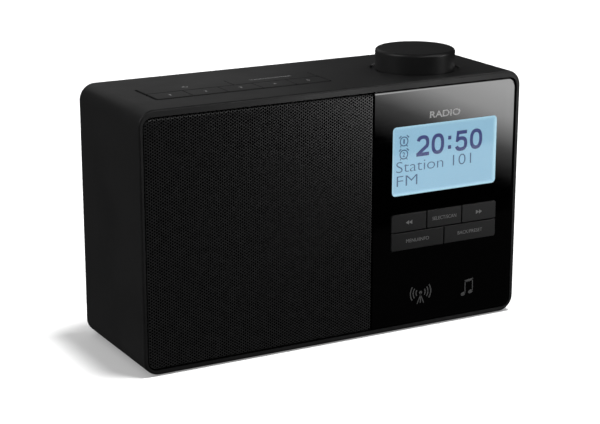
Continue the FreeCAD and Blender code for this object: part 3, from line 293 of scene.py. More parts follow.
def printed_ink(name, colour, roughness=0.5):
    """Pad-printed ink, slightly uneven."""
    material, tree, shader = new_material(name)
    mottle = noise(tree, 1500, 4, 0.7)
    vary_colour(tree, shader, mottle, colour, 0.8, 1.0, stops=(0.3, 0.65))
    vary_roughness(tree, shader, mottle, roughness - 0.1, roughness + 0.1)
    return material


def make_materials():
    """Every material, under the key that the code below uses for it."""
    return {
        "shell": moulded_plastic("shell_plastic", (0.0085, 0.0085, 0.0088), 0.44),
        # The frame behind the grille: black plastic, but four times darker than the shell and almost
        # without gloss, painted shade that keeps the grille's holes dark.
        "inner": moulded_plastic("inner_plastic", (0.002, 0.002, 0.0022), 0.7, smudge=0.04, specular=0.02),
        "knob": moulded_plastic("knob_plastic", (0.0120, 0.0120, 0.0123), 0.42, grain_deep=0.005),
        "front_key": moulded_plastic("front_key_plastic", (0.0075, 0.0075, 0.0078), 0.44, grain_deep=0.006,
                                     specular=0.38),
        "top_key": moulded_plastic("top_key_plastic", (0.0085, 0.0085, 0.0088), 0.43),
        "fascia": gloss_plastic("gloss_fascia", (0.0009, 0.0009, 0.0010)),
        "window": clear_window("clear_window"),
        "grille": painted_metal("grille_paint", (0.030, 0.030, 0.0306), 0.31),
        # The holes' walls: near-black and almost without gloss, painted shade that keeps the holes dark
        # rather than a finish of the metal.
        "hole_wall_shade": painted_metal("hole_wall_painted_shade", (0.002, 0.002, 0.002), 0.7, specular=0.02),
        "basket": painted_metal("basket_paint", (0.02, 0.02, 0.02), 0.4),
        "feet": rubber("foot_rubber", (0.02, 0.02, 0.02)),
        "foam": rubber("gasket_foam", (0.025, 0.025, 0.025)),
        "surround": rubber("surround_rubber", (0.015, 0.015, 0.015)),
        "cable": rubber("cable_jacket", (0.30, 0.02, 0.02)),
        "lcd": lit_display("lit_display"),
        "digit_ink": display_ink("display_digit_ink", (0.050, 0.060, 0.19)),
        "text_ink": display_ink("display_text_ink", (0.055, 0.115, 0.22)),
        "backlight": moulded_plastic("backlight_plastic", (0.75, 0.78, 0.8), 0.3),
        "tin": bare_metal("tin_plate", (0.62, 0.63, 0.64), 0.32),
        "steel": bare_metal("turned_steel", (0.56, 0.56, 0.57), 0.3),
        "dark_screw": bare_metal("blackened_steel", (0.09, 0.09, 0.095), 0.38),
        "brass": bare_metal("plated_brass", (0.76, 0.62, 0.34), 0.3),
        "copper": bare_metal("coil_copper", (0.72, 0.36, 0.18), 0.35, grain=(1.0, 40.0, 1.0)),
        "aluminium": bare_metal("can_aluminium", (0.72, 0.73, 0.74), 0.28),
        "chrome": bare_metal("antenna_chrome", (0.74, 0.74, 0.75), 0.1, grain=(0.2, 8.0, 8.0)),
        "ferrite": fibrous("magnet_ferrite", (0.04, 0.04, 0.042), 0.6),
        "paper": fibrous("cone_paper", (0.02, 0.019, 0.018), 0.8),
        "cloth": fibrous("spider_cloth", (0.45, 0.30, 0.09), 0.5),
        "board": circuit_board("circuit_board"),
        "chip": moulded_plastic("chip_epoxy", (0.015, 0.015, 0.015), 0.5),
        "ribbon": moulded_plastic("ribbon_film", (0.6, 0.6, 0.57), 0.35),
        "silver_print": printed_ink("silver_print", (0.85, 0.85, 0.85), 0.3),
        "grey_print": printed_ink("grey_print", (0.135, 0.135, 0.135)),
        "key_print": printed_ink("key_print", (0.36, 0.36, 0.36)),
        "top_print": printed_ink("top_print", (0.34, 0.34, 0.34)),
    }


NODE_MATERIALS = {
    "shell": ["cabinet", "rear_cover"],
    "inner": ["front_frame"],
    "knob": ["tuning_knob"],
    "front_key": ["rewind_key", "select_key", "forward_key", "menu_key", "back_key"],
    "top_key": ["power_key", "snooze_key"] + [f"preset_key_{i}" for i in range(1, 6)],
    "fascia": ["fascia_panel"],
    "window": ["display_lens"],
    "grille": ["speaker_grille"],
    "basket": ["speaker_basket"],
    "feet": ["rubber_feet"],
    "foam": ["speaker_gasket"],
    "surround": ["speaker_surround"],
    "cable": ["speaker_wires"],
    "lcd": ["lcd_glass"],
    "backlight": ["lcd_backlight"],
    "tin": ["lcd_bezel", "tuner_shield"],
    "steel": ["encoder_shaft", "encoder_washer", "encoder_nut", "speaker_top_plate", "speaker_yoke",
              "antenna_pin"],
    "dark_screw": ["case_screws", "frame_screws", "speaker_screws", "board_screws"],
    "brass": ["encoder_body"],
    "copper": ["voice_coil"],
    "aluminium": ["capacitors"],
    "chrome": ["antenna_foot"] + [f"antenna_section_{i}" for i in range(1, 5)],
    "ferrite": ["speaker_magnet"],
    "paper": ["speaker_cone", "speaker_dust_cap"],
    "cloth": ["speaker_spider"],
    "board": ["display_board", "top_board", "main_board"],
    "chip": ["board_chips", "front_switches", "top_switches", "dc_jack", "headphone_jack"],
    "ribbon": ["display_ribbon", "top_ribbon"],
}
SMOOTH_ANGLE = 32           # in degrees


def dress_nodes(materials):
    """Gives every CAD node its material, and smooth shading across its fine facets."""
    for key, names in NODE_MATERIALS.items():
        for name in names:
            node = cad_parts[name]
            node.data.materials.clear()
            node.data.materials.append(materials[key])
            node.data.shade_smooth()
            node.data.set_sharp_from_angle(angle=math.radians(SMOOTH_ANGLE))


# ---- the perforated grille ----
class RoundedSheet:
    """The grille's outline in x and z, and how the flat sheet rolls back at its edge. In mm."""

    def __init__(self):
        low, high = (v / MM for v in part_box("speaker_grille"))
        self.low, self.high = low, high
        self.roll = GRILLE_ROLL
        self.spare = self.roll * (math.pi / 2 - 1)     # how far the flat sheet goes past its rolled edge
        r = {-1: GRILLE_CORNER, 1: GRILLE_SEAM_CORNER}
        self.corners = [(Vector(((low.x + r[-1]) if sx < 0 else (high.x - r[1]),
                                 (low.z + r[sx]) if sz < 0 else (high.z - r[sx]))), r[sx], sx, sz)
                        for sx, sz in ((-1, -1), (1, -1), (1, 1), (-1, 1))]

    def outline(self, steps=10):
        """The unrolled sheet's outline, anticlockwise."""
        points = []
        for i, (centre, r, _, _) in enumerate(self.corners):
            start = math.pi + i * math.pi / 2
            for k in range(steps + 1):
                a = start + k / steps * math.pi / 2
                points.append(centre + (r + self.spare) * Vector((math.cos(a), math.sin(a))))
        return points

    def edge(self, p):
        """Distance from p to the unrolled sheet's edge, and the direction towards the edge."""
        for centre, r, sx, sz in self.corners:
            away = p - centre
            if away.x * sx > 0 and away.y * sz > 0:
                reach = away.length
                return r + self.spare - reach, away / max(reach, 1e-9)
        sides = [(p.x - self.low.x, Vector((-1, 0))), (self.high.x - p.x, Vector((1, 0))),
                 (p.y - self.low.z, Vector((0, -1))), (self.high.z - p.y, Vector((0, 1)))]
        distance, towards = min(sides, key=lambda s: s[0])
        return distance + self.spare, towards

    def place(self, p, deep=0.0):
        """The rolled sheet's point for p on the flat sheet, in metres, deep mm under its face."""
        distance, towards = self.edge(p)
        turn = min(max(math.pi / 2 - distance / self.roll, 0.0), math.pi / 2)
        q = p - towards * self.roll * (turn - math.sin(turn)) - towards * math.sin(turn) * deep
        y = self.low.y + self.roll * (1 - math.cos(turn)) + deep * math.cos(turn)
        return Vector((q.x, y, q.y)) * MM


def clip_polygon(polygon, outline):
    """The part of a polygon inside a convex anticlockwise outline."""
    for a, b in zip(outline, outline[1:] + outline[:1]):
        along = b - a
        kept = []
        for p, q in zip(polygon, polygon[1:] + polygon[:1]):
            side_p = along.cross(p - a)
            side_q = along.cross(q - a)
            if side_p >= 0:
                kept.append(p)
            if (side_p >= 0) != (side_q >= 0):
                kept.append(p.lerp(q, side_p / (side_p - side_q)))
        polygon = kept
        if len(polygon) < 3:
            return []
    return polygon


def grille_cell(centre):
    """The six corners of the sheet round one hole, anticlockwise."""
    dx, dz = HOLE_COLUMN_STEP, HOLE_ROW_STEP / 2
    flat = (dx * dx - dz * dz) / (2 * dx)   # half of the cell's upper side
    tip = dx - flat
    return [centre + Vector(v) for v in ((tip, 0), (flat, dz), (-flat, dz), (-tip, 0), (-flat, -dz),
                                         (flat, -dz))]


def punch_hole(mesh, sheet, centre, rim):
    """The sheet between a cell's rim and its hole, and the hole's walls, which take the painted shade."""
    turns = [math.radians(360 / HOLE_SIDES * k) for k in range(HOLE_SIDES)]
    shape = [HOLE_R * Vector((math.cos(t), math.sin(t))) for t in turns]
    lip = [mesh.verts.new(sheet.place(centre + p)) for p in shape]
    foot = [mesh.verts.new(sheet.place(centre + p, HOLE_DEPTH)) for p in shape]
    for k in range(HOLE_SIDES):
        n = (k + 1) % HOLE_SIDES
        mesh.faces.new((rim[k], lip[k], lip[n], rim[n]))
        wall = mesh.faces.new((lip[k], foot[k], foot[n], lip[n]))
        # the walls take the second material, the painted shade inside the holes
        wall.material_index = 1


def perforated_grille(materials):
    """The rolled sheet with its staggered holes, in place of the plain pan."""
    sheet = RoundedSheet()
    outline = sheet.outline()
    low, high = sheet.low, sheet.high
    middle = Vector(((low.x + high.x) / 2, (low.z + high.z) / 2))
    columns = int((high.x - low.x) / HOLE_COLUMN_STEP / 2) + 2
    rows = int((high.z - low.z) / HOLE_ROW_STEP / 2) + 2
    reach = 2 * HOLE_COLUMN_STEP    # more than a cell's corner is from its centre
    mesh = bmesh.new()
    for i in range(-columns, columns + 1):
        for j in range(-rows, rows + 1):
            shift = 0.5 if i % 2 else 0.0
            centre = middle + Vector((i * HOLE_COLUMN_STEP, (j + shift) * HOLE_ROW_STEP))
            distance, _ = sheet.edge(centre)
            if distance < -reach:
                continue
            cell = grille_cell(centre)
            if distance < reach:
                cell = clip_polygon(cell, outline)
            if not cell:
                continue
            rim = [mesh.verts.new(sheet.place(p)) for p in cell]
            if distance < GRILLE_BORDER or len(rim) != HOLE_SIDES:
                mesh.faces.new(rim[::-1])       # a plain cell, in the border
            else:
                punch_hole(mesh, sheet, centre, rim)
    bmesh.ops.remove_doubles(mesh, verts=mesh.verts, dist=GRILLE_WELD * MM)
    add_flange(mesh, sheet)
    piece = finish_piece(mesh, "grille_sheet", materials["grille"], "radio", smooth=GRILLE_SMOOTH_ANGLE)
    # the second material: painted shade for the holes' walls
    piece.data.materials.append(materials["hole_wall_shade"])
    return piece


def add_flange(mesh, sheet, margin=0.02):
    """The straight edge that runs back from the rolled rim, found within a margin in mm, to the frame."""
    rim_y = (sheet.low.y + sheet.roll - margin) * MM
    edges = [e for e in mesh.edges if e.is_boundary and all(v.co.y > rim_y for v in e.verts)]
    made = bmesh.ops.extrude_edge_only(mesh, edges=edges)
    for item in made["geom"]:
        if isinstance(item, bmesh.types.BMVert):
            item.co.y = sheet.high.y * MM


def finish_piece(mesh, name, material, body, smooth=None):
    """Turns a bmesh into an object that rides on a body."""
    data = bpy.data.meshes.new(name)
    mesh.to_mesh(data)
    mesh.free()
    data.materials.append(material)
    if smooth:
        data.shade_smooth()
        data.set_sharp_from_angle(angle=math.radians(smooth))
    piece = bpy.data.objects.new(name, data)
    bpy.context.scene.collection.objects.link(piece)
    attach(piece, body)
    return piece


# ---- flat marks: printing and display segments ----
FACE_FRONT = Matrix(((1, 0, 0), (0, 0, -1), (0, 1, 0)))     # u to +X, v to +Z, out to -Y
FACE_TOP = Matrix.Identity(3)                               # u to +X, v to +Y, out to +Z


def mark(name, body, material, shapes, origin, facing, thick=PRINT_THICK):
    """A thin raised mark. shapes are outlines of (u, v) points in mm about the origin, in metres."""
    mesh = bmesh.new()
    for shape in shapes:
        rings = []
        for lift in (0.0, thick):
            rings.append([mesh.verts.new(origin + facing @ Vector((u, v, lift)) * MM) for u, v in shape])
        mesh.faces.new(rings[1])
        mesh.faces.new(rings[0][::-1])
        count = len(shape)
        for k in range(count):
            n = (k + 1) % count
            mesh.faces.new((rings[0][k], rings[0][n], rings[1][n], rings[1][k]))
    bmesh.ops.recalc_face_normals(mesh, faces=mesh.faces)
    return finish_piece(mesh, name, material, body)


def lettering(name, body, material, text, size, origin, facing, bold=0.0, thick=PRINT_THICK):
    """Raised plain lettering, size (width, height) in mm, centred on the origin."""
    curve = bpy.data.curves.new(name, "FONT")
    curve.body = text
    curve.offset = bold
    curve.extrude = 0.5     # any depth does, as thick replaces it below
    curve.resolution_u = 5
    source = bpy.data.objects.new(name, curve)
    bpy.context.scene.collection.objects.link(source)
    bpy.context.view_layer.update()
    evaluated = source.evaluated_get(bpy.context.evaluated_depsgraph_get())
    flat = bpy.data.meshes.new_from_object(evaluated)
    bpy.data.objects.remove(source)
    mesh = bmesh.new()
    mesh.from_mesh(flat)
    bpy.data.meshes.remove(flat)
    low = Vector(min(v.co[k] for v in mesh.verts) for k in range(3))
    high = Vector(max(v.co[k] for v in mesh.verts) for k in range(3))
    for vert in mesh.verts:
        share = [(vert.co[k] - low[k]) / (high[k] - low[k]) for k in range(3)]
        local = Vector(((share[0] - 0.5) * size[0], (share[1] - 0.5) * size[1], share[2] * thick))
        vert.co = origin + facing @ local * MM
    return finish_piece(mesh, name, material, body)


def arc_band(centre, r_in, r_out, start, end, steps=16):
    """A band of a ring between two angles in degrees, as quads."""
    cu, cv = centre

    def spot(r, k):
        a = math.radians(start + (end - start) * k / steps)
        return (cu + r * math.cos(a), cv + r * math.sin(a))

    return [[spot(r_in, k), spot(r_out, k), spot(r_out, k + 1), spot(r_in, k + 1)]
            for k in range(steps)]


def oval_band(centre, ru, rv, stroke, start=0, end=360, steps=28):
    """A band of a squarish oval, of outer radii ru and rv, between two angles in degrees, as quads."""

    def spot(inset, k):
        a = math.radians(start + (end - start) * k / steps)
        c, s = math.cos(a), math.sin(a)
        return (centre[0] + (ru - inset) * math.copysign(abs(c) ** OVAL_POWER, c),
                centre[1] + (rv - inset) * math.copysign(abs(s) ** OVAL_POWER, s))

    return [[spot(stroke, k), spot(0.0, k), spot(0.0, k + 1), spot(stroke, k + 1)] for k in range(steps)]


def disc(centre, ru, rv=None, steps=20, tilt=0.0):
    """A filled ellipse."""
    rv = rv or ru
    c, s = math.cos(math.radians(tilt)), math.sin(math.radians(tilt))
    points = []
    for k in range(steps):
        a = 2 * math.pi * k / steps
        u, v = ru * math.cos(a), rv * math.sin(a)
        points.append((centre[0] + c * u - s * v, centre[1] + s * u + c * v))
    return points


def bar(a, b, width):
    """A straight stroke from a to b."""
    a, b = Vector(a), Vector(b)
    along = (b - a).normalized()
    side = Vector((-along.y, along.x)) * width / 2
    return [tuple(p) for p in (a - side, b - side, b + side, a + side)]


def face_centre(node, facing):
    """The middle of a node's front face, or of its top face."""
    low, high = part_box(node)
    middle = (low + high) / 2
    if facing is FACE_FRONT:
        return Vector((middle.x, low.y, middle.z))
    return Vector((middle.x, middle.y, high.z))


# ---- marks on the keys, in mm ----
KEY_LIP = 1.2       # a key's hidden lip, which its box takes in
UPPER_KEYS = ("rewind_key", "select_key", "forward_key")
KEY_WORDS = {       # the word on each key, and its width and height
    "select_key": ("SELECT/SCAN", (13.6, 1.7)),
    "menu_key": ("MENU/INFO", (12.8, 1.7)),
    "back_key": ("BACK/PRESET", (14.2, 1.7)),
}
KEY_WORD_BOLD = -0.005      # how much the letters' strokes gain, and less than nothing thins them
ARROW_HALF = 1.05
ARROW_LENGTH = 1.75
ARROW_STEP = 1.8
SNOOZE_WORD_SIZE = (22.0, 1.9)
POWER_RING = (1.05, 1.4)    # radii
POWER_GAP = 35              # half of the ring's gap at the top, in degrees
POWER_STROKE = ((0, 0.2), (0, 1.9), 0.36)
NUMBER_HEIGHT = 2.3
ONE_WIDTH = 0.8     # a 1 is narrower than the other numbers
PRESET_WIDTH = 1.5


def front_key_centre(key):
    """The middle of a front key's open face: the upper row's lips are above, the lower row's below."""
    lift = -KEY_LIP / 2 if key in UPPER_KEYS else KEY_LIP / 2
    return face_centre(key, FACE_FRONT) + Vector((0, 0, lift * MM))


def front_key_marks(materials):
    """A word on three of the front keys, and a double arrow on the other two."""
    ink = materials["key_print"]
    for key, (text, size) in KEY_WORDS.items():
        lettering(f"{key}_label", key, ink, text, size, front_key_centre(key), FACE_FRONT,
                  bold=KEY_WORD_BOLD)
    for key, way in (("rewind_key", -1), ("forward_key", 1)):
        arrows = [[(u, ARROW_HALF), (u, -ARROW_HALF), (u + way * ARROW_LENGTH, 0.0)]
                  for u in (-way * ARROW_STEP, 0.0)]
        mark(f"{key}_label", key, ink, arrows, front_key_centre(key), FACE_FRONT)


def number_size(number, width):
    """The width and height of a printed number."""
    return (ONE_WIDTH if number == "1" else width, NUMBER_HEIGHT)


def top_key_marks(materials):
    """Numbers on the preset keys, a word on the snooze key and a power sign on the power key."""
    ink = materials["top_print"]
    lip = Vector((0, KEY_LIP / 2 * MM, 0))
    for number in "12345":
        key = f"preset_key_{number}"
        lettering(f"{key}_label", key, ink, number, number_size(number, PRESET_WIDTH),
                  face_centre(key, FACE_TOP) + lip, FACE_TOP)
    lettering("snooze_key_label", "snooze_key", ink, "SNOOZE/DIMMER", SNOOZE_WORD_SIZE,
              face_centre("snooze_key", FACE_TOP), FACE_TOP)
    ring = arc_band((0, 0), *POWER_RING, 90 + POWER_GAP, 450 - POWER_GAP)
    stroke = bar(*POWER_STROKE)
    mark("power_key_label", "power_key", ink, ring + [stroke],
         face_centre("power_key", FACE_TOP), FACE_TOP)


# ---- marks on the fascia, in mm ----
WORD_AT = (57.0, 104.5)     # x from the radio's middle and z above the cabinet's base, in mm
WORD_SIZE = (17.0, 3.2)
WORD_BOLD = 0.018
MAST_AT = (45.4, 15.6)
NOTE_AT = (72.2, 15.8)
MAST_TOP = (0, 1.7)
WAVE_RADII = (2.3, 3.9, 5.5)
WAVE_WIDTH = 0.6
WAVE_HALF_ANGLE = 35


def fascia_point(x, z):
    """A point on the fascia's face: x from the radio's middle and z above the cabinet's base, in mm."""
    return Vector((x * MM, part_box("fascia_panel")[0].y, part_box("cabinet")[0].z + z * MM))


def broadcast_mast():
    """A mast on two legs, with three waves on each side."""
    shapes = [bar((0, -3.6), (0, 1.4), 0.6)]
    shapes += [bar((side * 1.9, -3.8), (0, 0.6), 0.5) for side in (-1, 1)]
    shapes.append(disc(MAST_TOP, 0.85))
    for r in WAVE_RADII:
        for middle in (0, 180):
            shapes += arc_band(MAST_TOP, r, r + WAVE_WIDTH, middle - WAVE_HALF_ANGLE,
                               middle + WAVE_HALF_ANGLE, 10)
    return shapes


def music_note():
    """Two slanted heads on stems, joined by a beam."""
    heads = [disc(centre, 1.35, 0.95, tilt=20) for centre in ((-2.1, -3.1), (2.2, -2.5))]
    stems = [bar((-1.0, -3.0), (-1.0, 3.3), 0.5), bar((3.3, -2.4), (3.3, 3.9), 0.5)]
    beam = bar((-1.25, 3.2), (3.55, 3.8), 1.1)
    return heads + stems + [beam]


def fascia_marks(materials):
    """The plain word above the display and the two symbols below the keys."""
    grey = materials["grey_print"]
    lettering("radio_word", "radio", materials["silver_print"], "RADIO", WORD_SIZE,
              fascia_point(*WORD_AT), FACE_FRONT, bold=WORD_BOLD)
    mark("broadcast_symbol", "radio", grey, broadcast_mast(), fascia_point(*MAST_AT), FACE_FRONT)
    mark("music_symbol", "radio", grey, music_note(), fascia_point(*NOTE_AT), FACE_FRONT)


# ---- what the display shows, in mm ----
DIGIT_WIDTH = 7.1
DIGIT_HEIGHT = 10.0
DIGIT_STROKE = 1.75
DIGIT_STEPS = (0.0, 8.4, 21.6, 30.2)    # where each digit of the clock starts
COLON_AT = 18.6
COLON_HEIGHTS = (2.6, 7.2)
COLON_RADIUS = 1.25         # of each square dot, out to its corners
OVAL_POWER = 0.82           # 1 is a plain oval, and less is squarer
CLOCK_AT = (13.6, 17.8)     # the lower left corner of the clock's first digit
STATION_AT = (23.7, 13.7)   # the middle of each line of text
STATION_SIZE = (42.2, 5.2)
BAND_AT = (8.7, 6.9)
BAND_SIZE = (11.5, 5.0)
TEXT_BOLD = -0.012
ALARM_X = 6.65
ALARM_Z = {"1": 26.0, "2": 19.7}
ALARM_NUMBER_WIDTH = 1.3
ALARM_NUMBER_BOLD = 0.02


def digit_zero(x):
    """A 0 whose left edge is at x."""
    middle = (x + DIGIT_WIDTH / 2, DIGIT_HEIGHT / 2)
    return oval_band(middle, DIGIT_WIDTH / 2, DIGIT_HEIGHT / 2, DIGIT_STROKE)


def digit_two(x):
    """A 2: its bowl, its slanted stroke and its foot."""
    half, stroke = DIGIT_WIDTH / 2, DIGIT_STROKE
    bowl = (x + half, DIGIT_HEIGHT - half)
    turn_end = (x + DIGIT_WIDTH - 1.5, DIGIT_HEIGHT - half - 1.9)
    return (oval_band(bowl, half, half, stroke, 165, -45) + [bar(turn_end, (x + 0.8, 1.0), stroke)]
            + [bar((x, stroke / 2), (x + DIGIT_WIDTH, stroke / 2), stroke)])


def digit_five(x):
    """A 5: its bowl, its top stroke and the upright that joins them."""
    half, stroke = DIGIT_WIDTH / 2, DIGIT_STROKE
    top = DIGIT_HEIGHT - stroke / 2
    return (oval_band((x + half, half), half, half, stroke, 135, -160)
            + [bar((x + 1.0, top), (x + DIGIT_WIDTH - 0.3, top), stroke)]
            + [bar((x + 1.75, top), (x + 1.2, 4.6), 1.5)])


def clock_digits():
    """The outlines of 20:50, in mm from the lower left corner of the first digit."""
    makers = (digit_two, digit_zero, digit_five, digit_zero)
    shapes = [shape for maker, x in zip(makers, DIGIT_STEPS) for shape in maker(x)]
    return shapes + [disc((COLON_AT, z), COLON_RADIUS, steps=4, tilt=45) for z in COLON_HEIGHTS]


def alarm_clock():
    """A round clock with two bells above it and two feet below."""
    shapes = arc_band((0, 0), 1.85, 2.4, 0, 360, 28)
    shapes += [bar((side * 2.7, 1.7), (side * 1.5, 2.8), 0.6) for side in (-1, 1)]
    shapes += [bar((side * 2.0, -2.6), (side * 1.5, -1.9), 0.45) for side in (-1, 1)]
    return shapes


def display_marks(materials):
    """The clock, two alarm symbols and two lines of text on the lit display."""
    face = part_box("lcd_glass")[0].y
    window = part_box("display_lens")[0]

    def spot(x, z):
        """A point on the display's glass, in mm right of and above the window's lower left corner."""
        return Vector((window.x + x * MM, face, window.z + z * MM))

    digits, ink = materials["digit_ink"], materials["text_ink"]
    mark("clock_digits", "radio", digits, clock_digits(), spot(*CLOCK_AT), FACE_FRONT, SEGMENT_THICK)
    lettering("station_text", "radio", ink, "Station 101", STATION_SIZE, spot(*STATION_AT), FACE_FRONT,
              bold=TEXT_BOLD, thick=SEGMENT_THICK)
    lettering("band_text", "radio", ink, "FM", BAND_SIZE, spot(*BAND_AT), FACE_FRONT,
              bold=TEXT_BOLD, thick=SEGMENT_THICK)
    for number, z in ALARM_Z.items():
        place = spot(ALARM_X, z)
        mark(f"alarm_symbol_{number}", "radio", ink, alarm_clock(), place, FACE_FRONT, SEGMENT_THICK)
        lettering(f"alarm_number_{number}", "radio", ink, number, number_size(number, ALARM_NUMBER_WIDTH),
                  place, FACE_FRONT, bold=ALARM_NUMBER_BOLD, thick=SEGMENT_THICK)


# ---- studio ----
def add_camera():
    """The camera, which looks at VIEW_TARGET from VIEW_DISTANCE, rolled and shifted a little."""
    azimuth, elevation, roll = (math.radians(a) for a in (VIEW_AZIMUTH, VIEW_ELEVATION, VIEW_ROLL))
    back = Vector((math.sin(azimuth) * math.cos(elevation), -math.cos(azimuth) * math.cos(elevation),
                   math.sin(elevation)))
    right = Vector((math.cos(azimuth), math.sin(azimuth), 0))
    up = back.cross(right)
    across = right * math.cos(roll) + up * math.sin(roll)
    upright = up * math.cos(roll) - right * math.sin(roll)
    data = bpy.data.cameras.new("camera")
    data.sensor_fit = "HORIZONTAL"
    data.sensor_width = SENSOR
    data.lens = LENS
    data.shift_x = SHIFT_X
    data.shift_y = SHIFT_Y
    data.clip_start = 0.01
    camera = bpy.data.objects.new("camera", data)
    place = Matrix((across, upright, back)).transposed().to_4x4()
    place.translation = VIEW_TARGET + back * VIEW_DISTANCE
    camera.matrix_world = place
    bpy.context.scene.collection.objects.link(camera)
    bpy.context.scene.camera = camera


def aim(place, target):
    """A turn that points an object's -Z from place to target."""
    return (Vector(target) - Vector(place)).to_track_quat("-Z", "Y")


def receivers(name, pieces, state="INCLUDE"):
    """A collection of pieces that a light alone reaches or, with EXCLUDE, that it misses."""
    linked = bpy.data.collections.new(name)
    for piece in pieces:
        linked.objects.link(piece)
    for item in linked.collection_objects:
        item.light_linking.link_state = state
    return linked


def soft_sheen(name, place, target, size, power, only=None):
    """A rectangular light that shows as gloss alone, on every surface or on the nodes in only."""
    data = bpy.data.lights.new(name, "AREA")
    data.shape = "RECTANGLE"
    data.size, data.size_y = size
    data.energy = power
    light = bpy.data.objects.new(name, data)
    light.location = place
    light.rotation_mode = "QUATERNION"
    light.rotation_quaternion = aim(place, target)
    bpy.context.scene.collection.objects.link(light)
    light.visible_camera = False
    light.visible_diffuse = False
    if only:
        nodes = [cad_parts[node] for node in only]
        light.light_linking.receiver_collection = receivers(name + "_receivers", nodes)


SUN_FROM = Vector((0.155, -0.10, 1.0))
SUN_ANGLE = 10              # in degrees: how soft the shadow on the floor is
SUN_STRENGTH = 6.5


def add_floor_sun(floor):
    """High light from the front right, which only the floor receives. It casts the narrow shadow."""
    data = bpy.data.lights.new("floor_sun", "SUN")
    data.angle = math.radians(SUN_ANGLE)
    data.energy = SUN_STRENGTH
    sun = bpy.data.objects.new("floor_sun", data)
    sun.rotation_mode = "QUATERNION"
    sun.rotation_quaternion = aim(SUN_FROM, (0, 0, 0))
    bpy.context.scene.collection.objects.link(sun)
    sun.light_linking.receiver_collection = receivers("floor_only", [floor])


def stage_plane(name, corners):
    """A flat stage surface through four corners, in metres."""
    mesh = bmesh.new()
    mesh.faces.new([mesh.verts.new(c) for c in corners])
    data = bpy.data.meshes.new(name)
    mesh.to_mesh(data)
    mesh.free()
    plane = bpy.data.objects.new(name, data)
    bpy.context.scene.collection.objects.link(plane)
    return plane


FLOOR_HALF = 6.0
FLOOR_SHADES = (0.41, 0.43)
FLOOR_GLOW = 0.24


def add_floor():
    """A pale matt floor that glows a little, as a lit product table does."""
    floor = stage_plane("floor", [(x * FLOOR_HALF, y * FLOOR_HALF, 0)
                                  for x, y in ((-1, -1), (1, -1), (1, 1), (-1, 1))])
    material, tree, shader = new_material("pale_floor", Roughness=0.95, Specular_IOR_Level=0.0)
    shader.inputs["Emission Color"].default_value = (1, 1, 1, 1)
    shader.inputs["Emission Strength"].default_value = FLOOR_GLOW
    shades = ramp(tree, noise(tree, 3, 2), list(zip((0.3, 0.7), FLOOR_SHADES)))
    tree.links.new(shades, shader.inputs["Base Color"])
    floor.data.materials.append(material)
    floor.visible_glossy = False
    floor.visible_diffuse = False
    return floor


PANEL_CARD_X = (0.17, 0.37)
PANEL_CARD_Y = -0.34
PANEL_CARD_Z = (-0.05, 0.10)
PANEL_CARD_GLOW = 7.8
CARD_FADE_START = 0.239     # where the card starts to glow, along x + CARD_FADE_SLOPE * z
CARD_FADE_LENGTH = 0.16
CARD_FADE_SLOPE = 2.35
CARD_FADE_STOPS = [(0.0, 0.0), (0.15, 0.04), (0.35, 0.13), (0.54, 0.455), (0.7, 0.78), (1.0, 1.0)]
CARD_MISSES = ["cabinet", "tuning_knob", "display_lens"]


def add_panel_card():
    """A glowing card low at the front right, which only gloss mirrors. It fades out to the lower left."""
    (left, right), (low, high) = PANEL_CARD_X, PANEL_CARD_Z
    card = stage_plane("panel_card", [(x, PANEL_CARD_Y, z) for x, z in
                                      ((right, low), (left, low), (left, high), (right, high))])
    material = bpy.data.materials.new("card_glow")
    material.use_nodes = True
    tree = material.node_tree
    tree.nodes.clear()
    separate = tree.nodes.new("ShaderNodeSeparateXYZ")
    tree.links.new(object_coordinates(tree), separate.inputs["Vector"])
    slanted = maths(tree, "ADD", separate.outputs["X"],
                    maths(tree, "MULTIPLY", separate.outputs["Z"], CARD_FADE_SLOPE))
    share = maths(tree, "DIVIDE", maths(tree, "SUBTRACT", slanted, CARD_FADE_START), CARD_FADE_LENGTH)
    fade = ramp(tree, share, CARD_FADE_STOPS)
    glow = tree.nodes.new("ShaderNodeEmission")
    tree.links.new(maths(tree, "MULTIPLY", fade, PANEL_CARD_GLOW), glow.inputs["Strength"])
    output = tree.nodes.new("ShaderNodeOutputMaterial")
    tree.links.new(glow.outputs["Emission"], output.inputs["Surface"])
    card.data.materials.append(material)
    card.visible_camera = False
    card.visible_diffuse = False
    card.visible_shadow = False
    missed = [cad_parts[node] for node in CARD_MISSES]
    card.light_linking.receiver_collection = receivers("card_misses", missed, "EXCLUDE")


WORLD_LIGHT = 0.72
WORLD_TOWARDS_BACK = 0.60   # how much brighter the light gets towards +Y, and darker towards -Y
WORLD_TOWARDS_LEFT = 0.40
WORLD_IN_GLOSS = 0.02


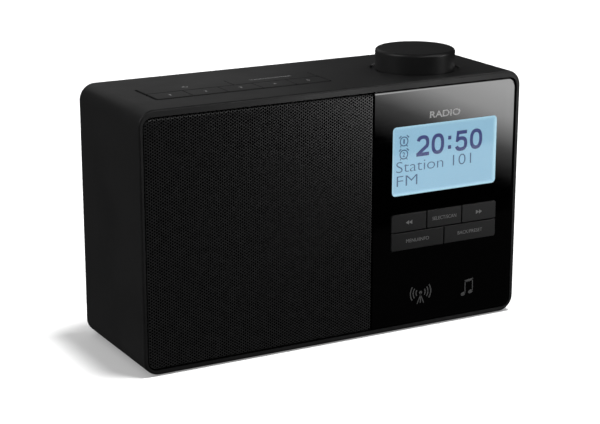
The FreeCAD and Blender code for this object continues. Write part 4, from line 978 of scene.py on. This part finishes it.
def add_world():
    """Soft light, brightest behind and at the left. Gloss sees a dark room, and the camera plain white."""
    world = bpy.data.worlds.new("studio")
    world.use_nodes = True
    tree = world.node_tree
    tree.nodes.clear()
    direction = tree.nodes.new("ShaderNodeSeparateXYZ")
    tree.links.new(tree.nodes.new("ShaderNodeTexCoord").outputs["Generated"], direction.inputs["Vector"])
    back = maths(tree, "MULTIPLY", direction.outputs["Y"], WORLD_TOWARDS_BACK)
    left = maths(tree, "MULTIPLY", direction.outputs["X"], -WORLD_TOWARDS_LEFT)
    slanted = maths(tree, "ADD", maths(tree, "ADD", back, left), WORLD_LIGHT)
    soft, dark, white = (tree.nodes.new("ShaderNodeBackground") for _ in range(3))
    for shade in (soft, dark, white):
        shade.inputs["Color"].default_value = (1, 1, 1, 1)
    tree.links.new(maths(tree, "MAXIMUM", slanted, 0.0), soft.inputs["Strength"])
    dark.inputs["Strength"].default_value = WORLD_IN_GLOSS
    rays = tree.nodes.new("ShaderNodeLightPath")
    shader = soft
    for ray, other in (("Is Glossy Ray", dark), ("Is Camera Ray", white)):
        mix = tree.nodes.new("ShaderNodeMixShader")
        tree.links.new(rays.outputs[ray], mix.inputs["Fac"])
        tree.links.new(shader.outputs[0], mix.inputs[1])
        tree.links.new(other.outputs[0], mix.inputs[2])
        shader = mix
    output = tree.nodes.new("ShaderNodeOutputWorld")
    tree.links.new(shader.outputs[0], output.inputs["Surface"])
    bpy.context.scene.world = world


REAR_NODES = (["rear_cover", "case_screws", "dc_jack", "headphone_jack", "antenna_foot", "antenna_pin"]
              + [f"antenna_section_{i}" for i in range(1, 5)])


def add_studio():
    """The world, the floor, the card and the lights that give each face its sheen."""
    add_world()
    add_floor_sun(add_floor())
    add_panel_card()
    middle = (0, 0, 0.08)       # inside the cabinet, a little above its centre
    soft_sheen("key_sheen", (0.75, -0.55, 1.05), middle, (0.7, 0.7), 0.8)
    soft_sheen("edge_sheen", (0.3, -1.0, 0.75), middle, (1.0, 0.3), 2.5)
    soft_sheen("rim_sheen", (0.26, -0.42, 0.04), middle, (0.14, 0.04), 0.30, only=["cabinet"])
    soft_sheen("fascia_edge_sheen", (0.35, -0.34, 0.21), (0.35, 0, 0.21), (0.4, 0.22), 2.2,
               only=["fascia_panel"])
    soft_sheen("knob_sheen", (0.44, -0.32, 0.18), middle, (0.15, 0.1), 0.3, only=["tuning_knob"])
    soft_sheen("top_sheen", (0.06, 0.62, 0.40), middle, (0.55, 0.25), 0.14)
    soft_sheen("left_sheen", (-1.0, 0.1, 0.9), middle, (0.5, 0.9), 3.0)
    soft_sheen("right_sheen", (1.0, 0.2, 0.6), middle, (0.5, 0.9), 3.0, only=["cabinet"])
    soft_sheen("rear_sheen", (0.3, 1.0, 0.8), middle, (1.2, 0.5), 8.0, only=REAR_NODES)
    settings = bpy.context.scene.view_settings
    settings.view_transform = "Standard"
    settings.look = "None"


def main():
    """Dresses the CAD nodes, adds the finer pieces, the lights and the camera."""
    materials = make_materials()
    dress_nodes(materials)
    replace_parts(perforated_grille(materials), "speaker_grille")
    front_key_marks(materials)
    top_key_marks(materials)
    fascia_marks(materials)
    display_marks(materials)
    add_studio()
    add_camera()


main()
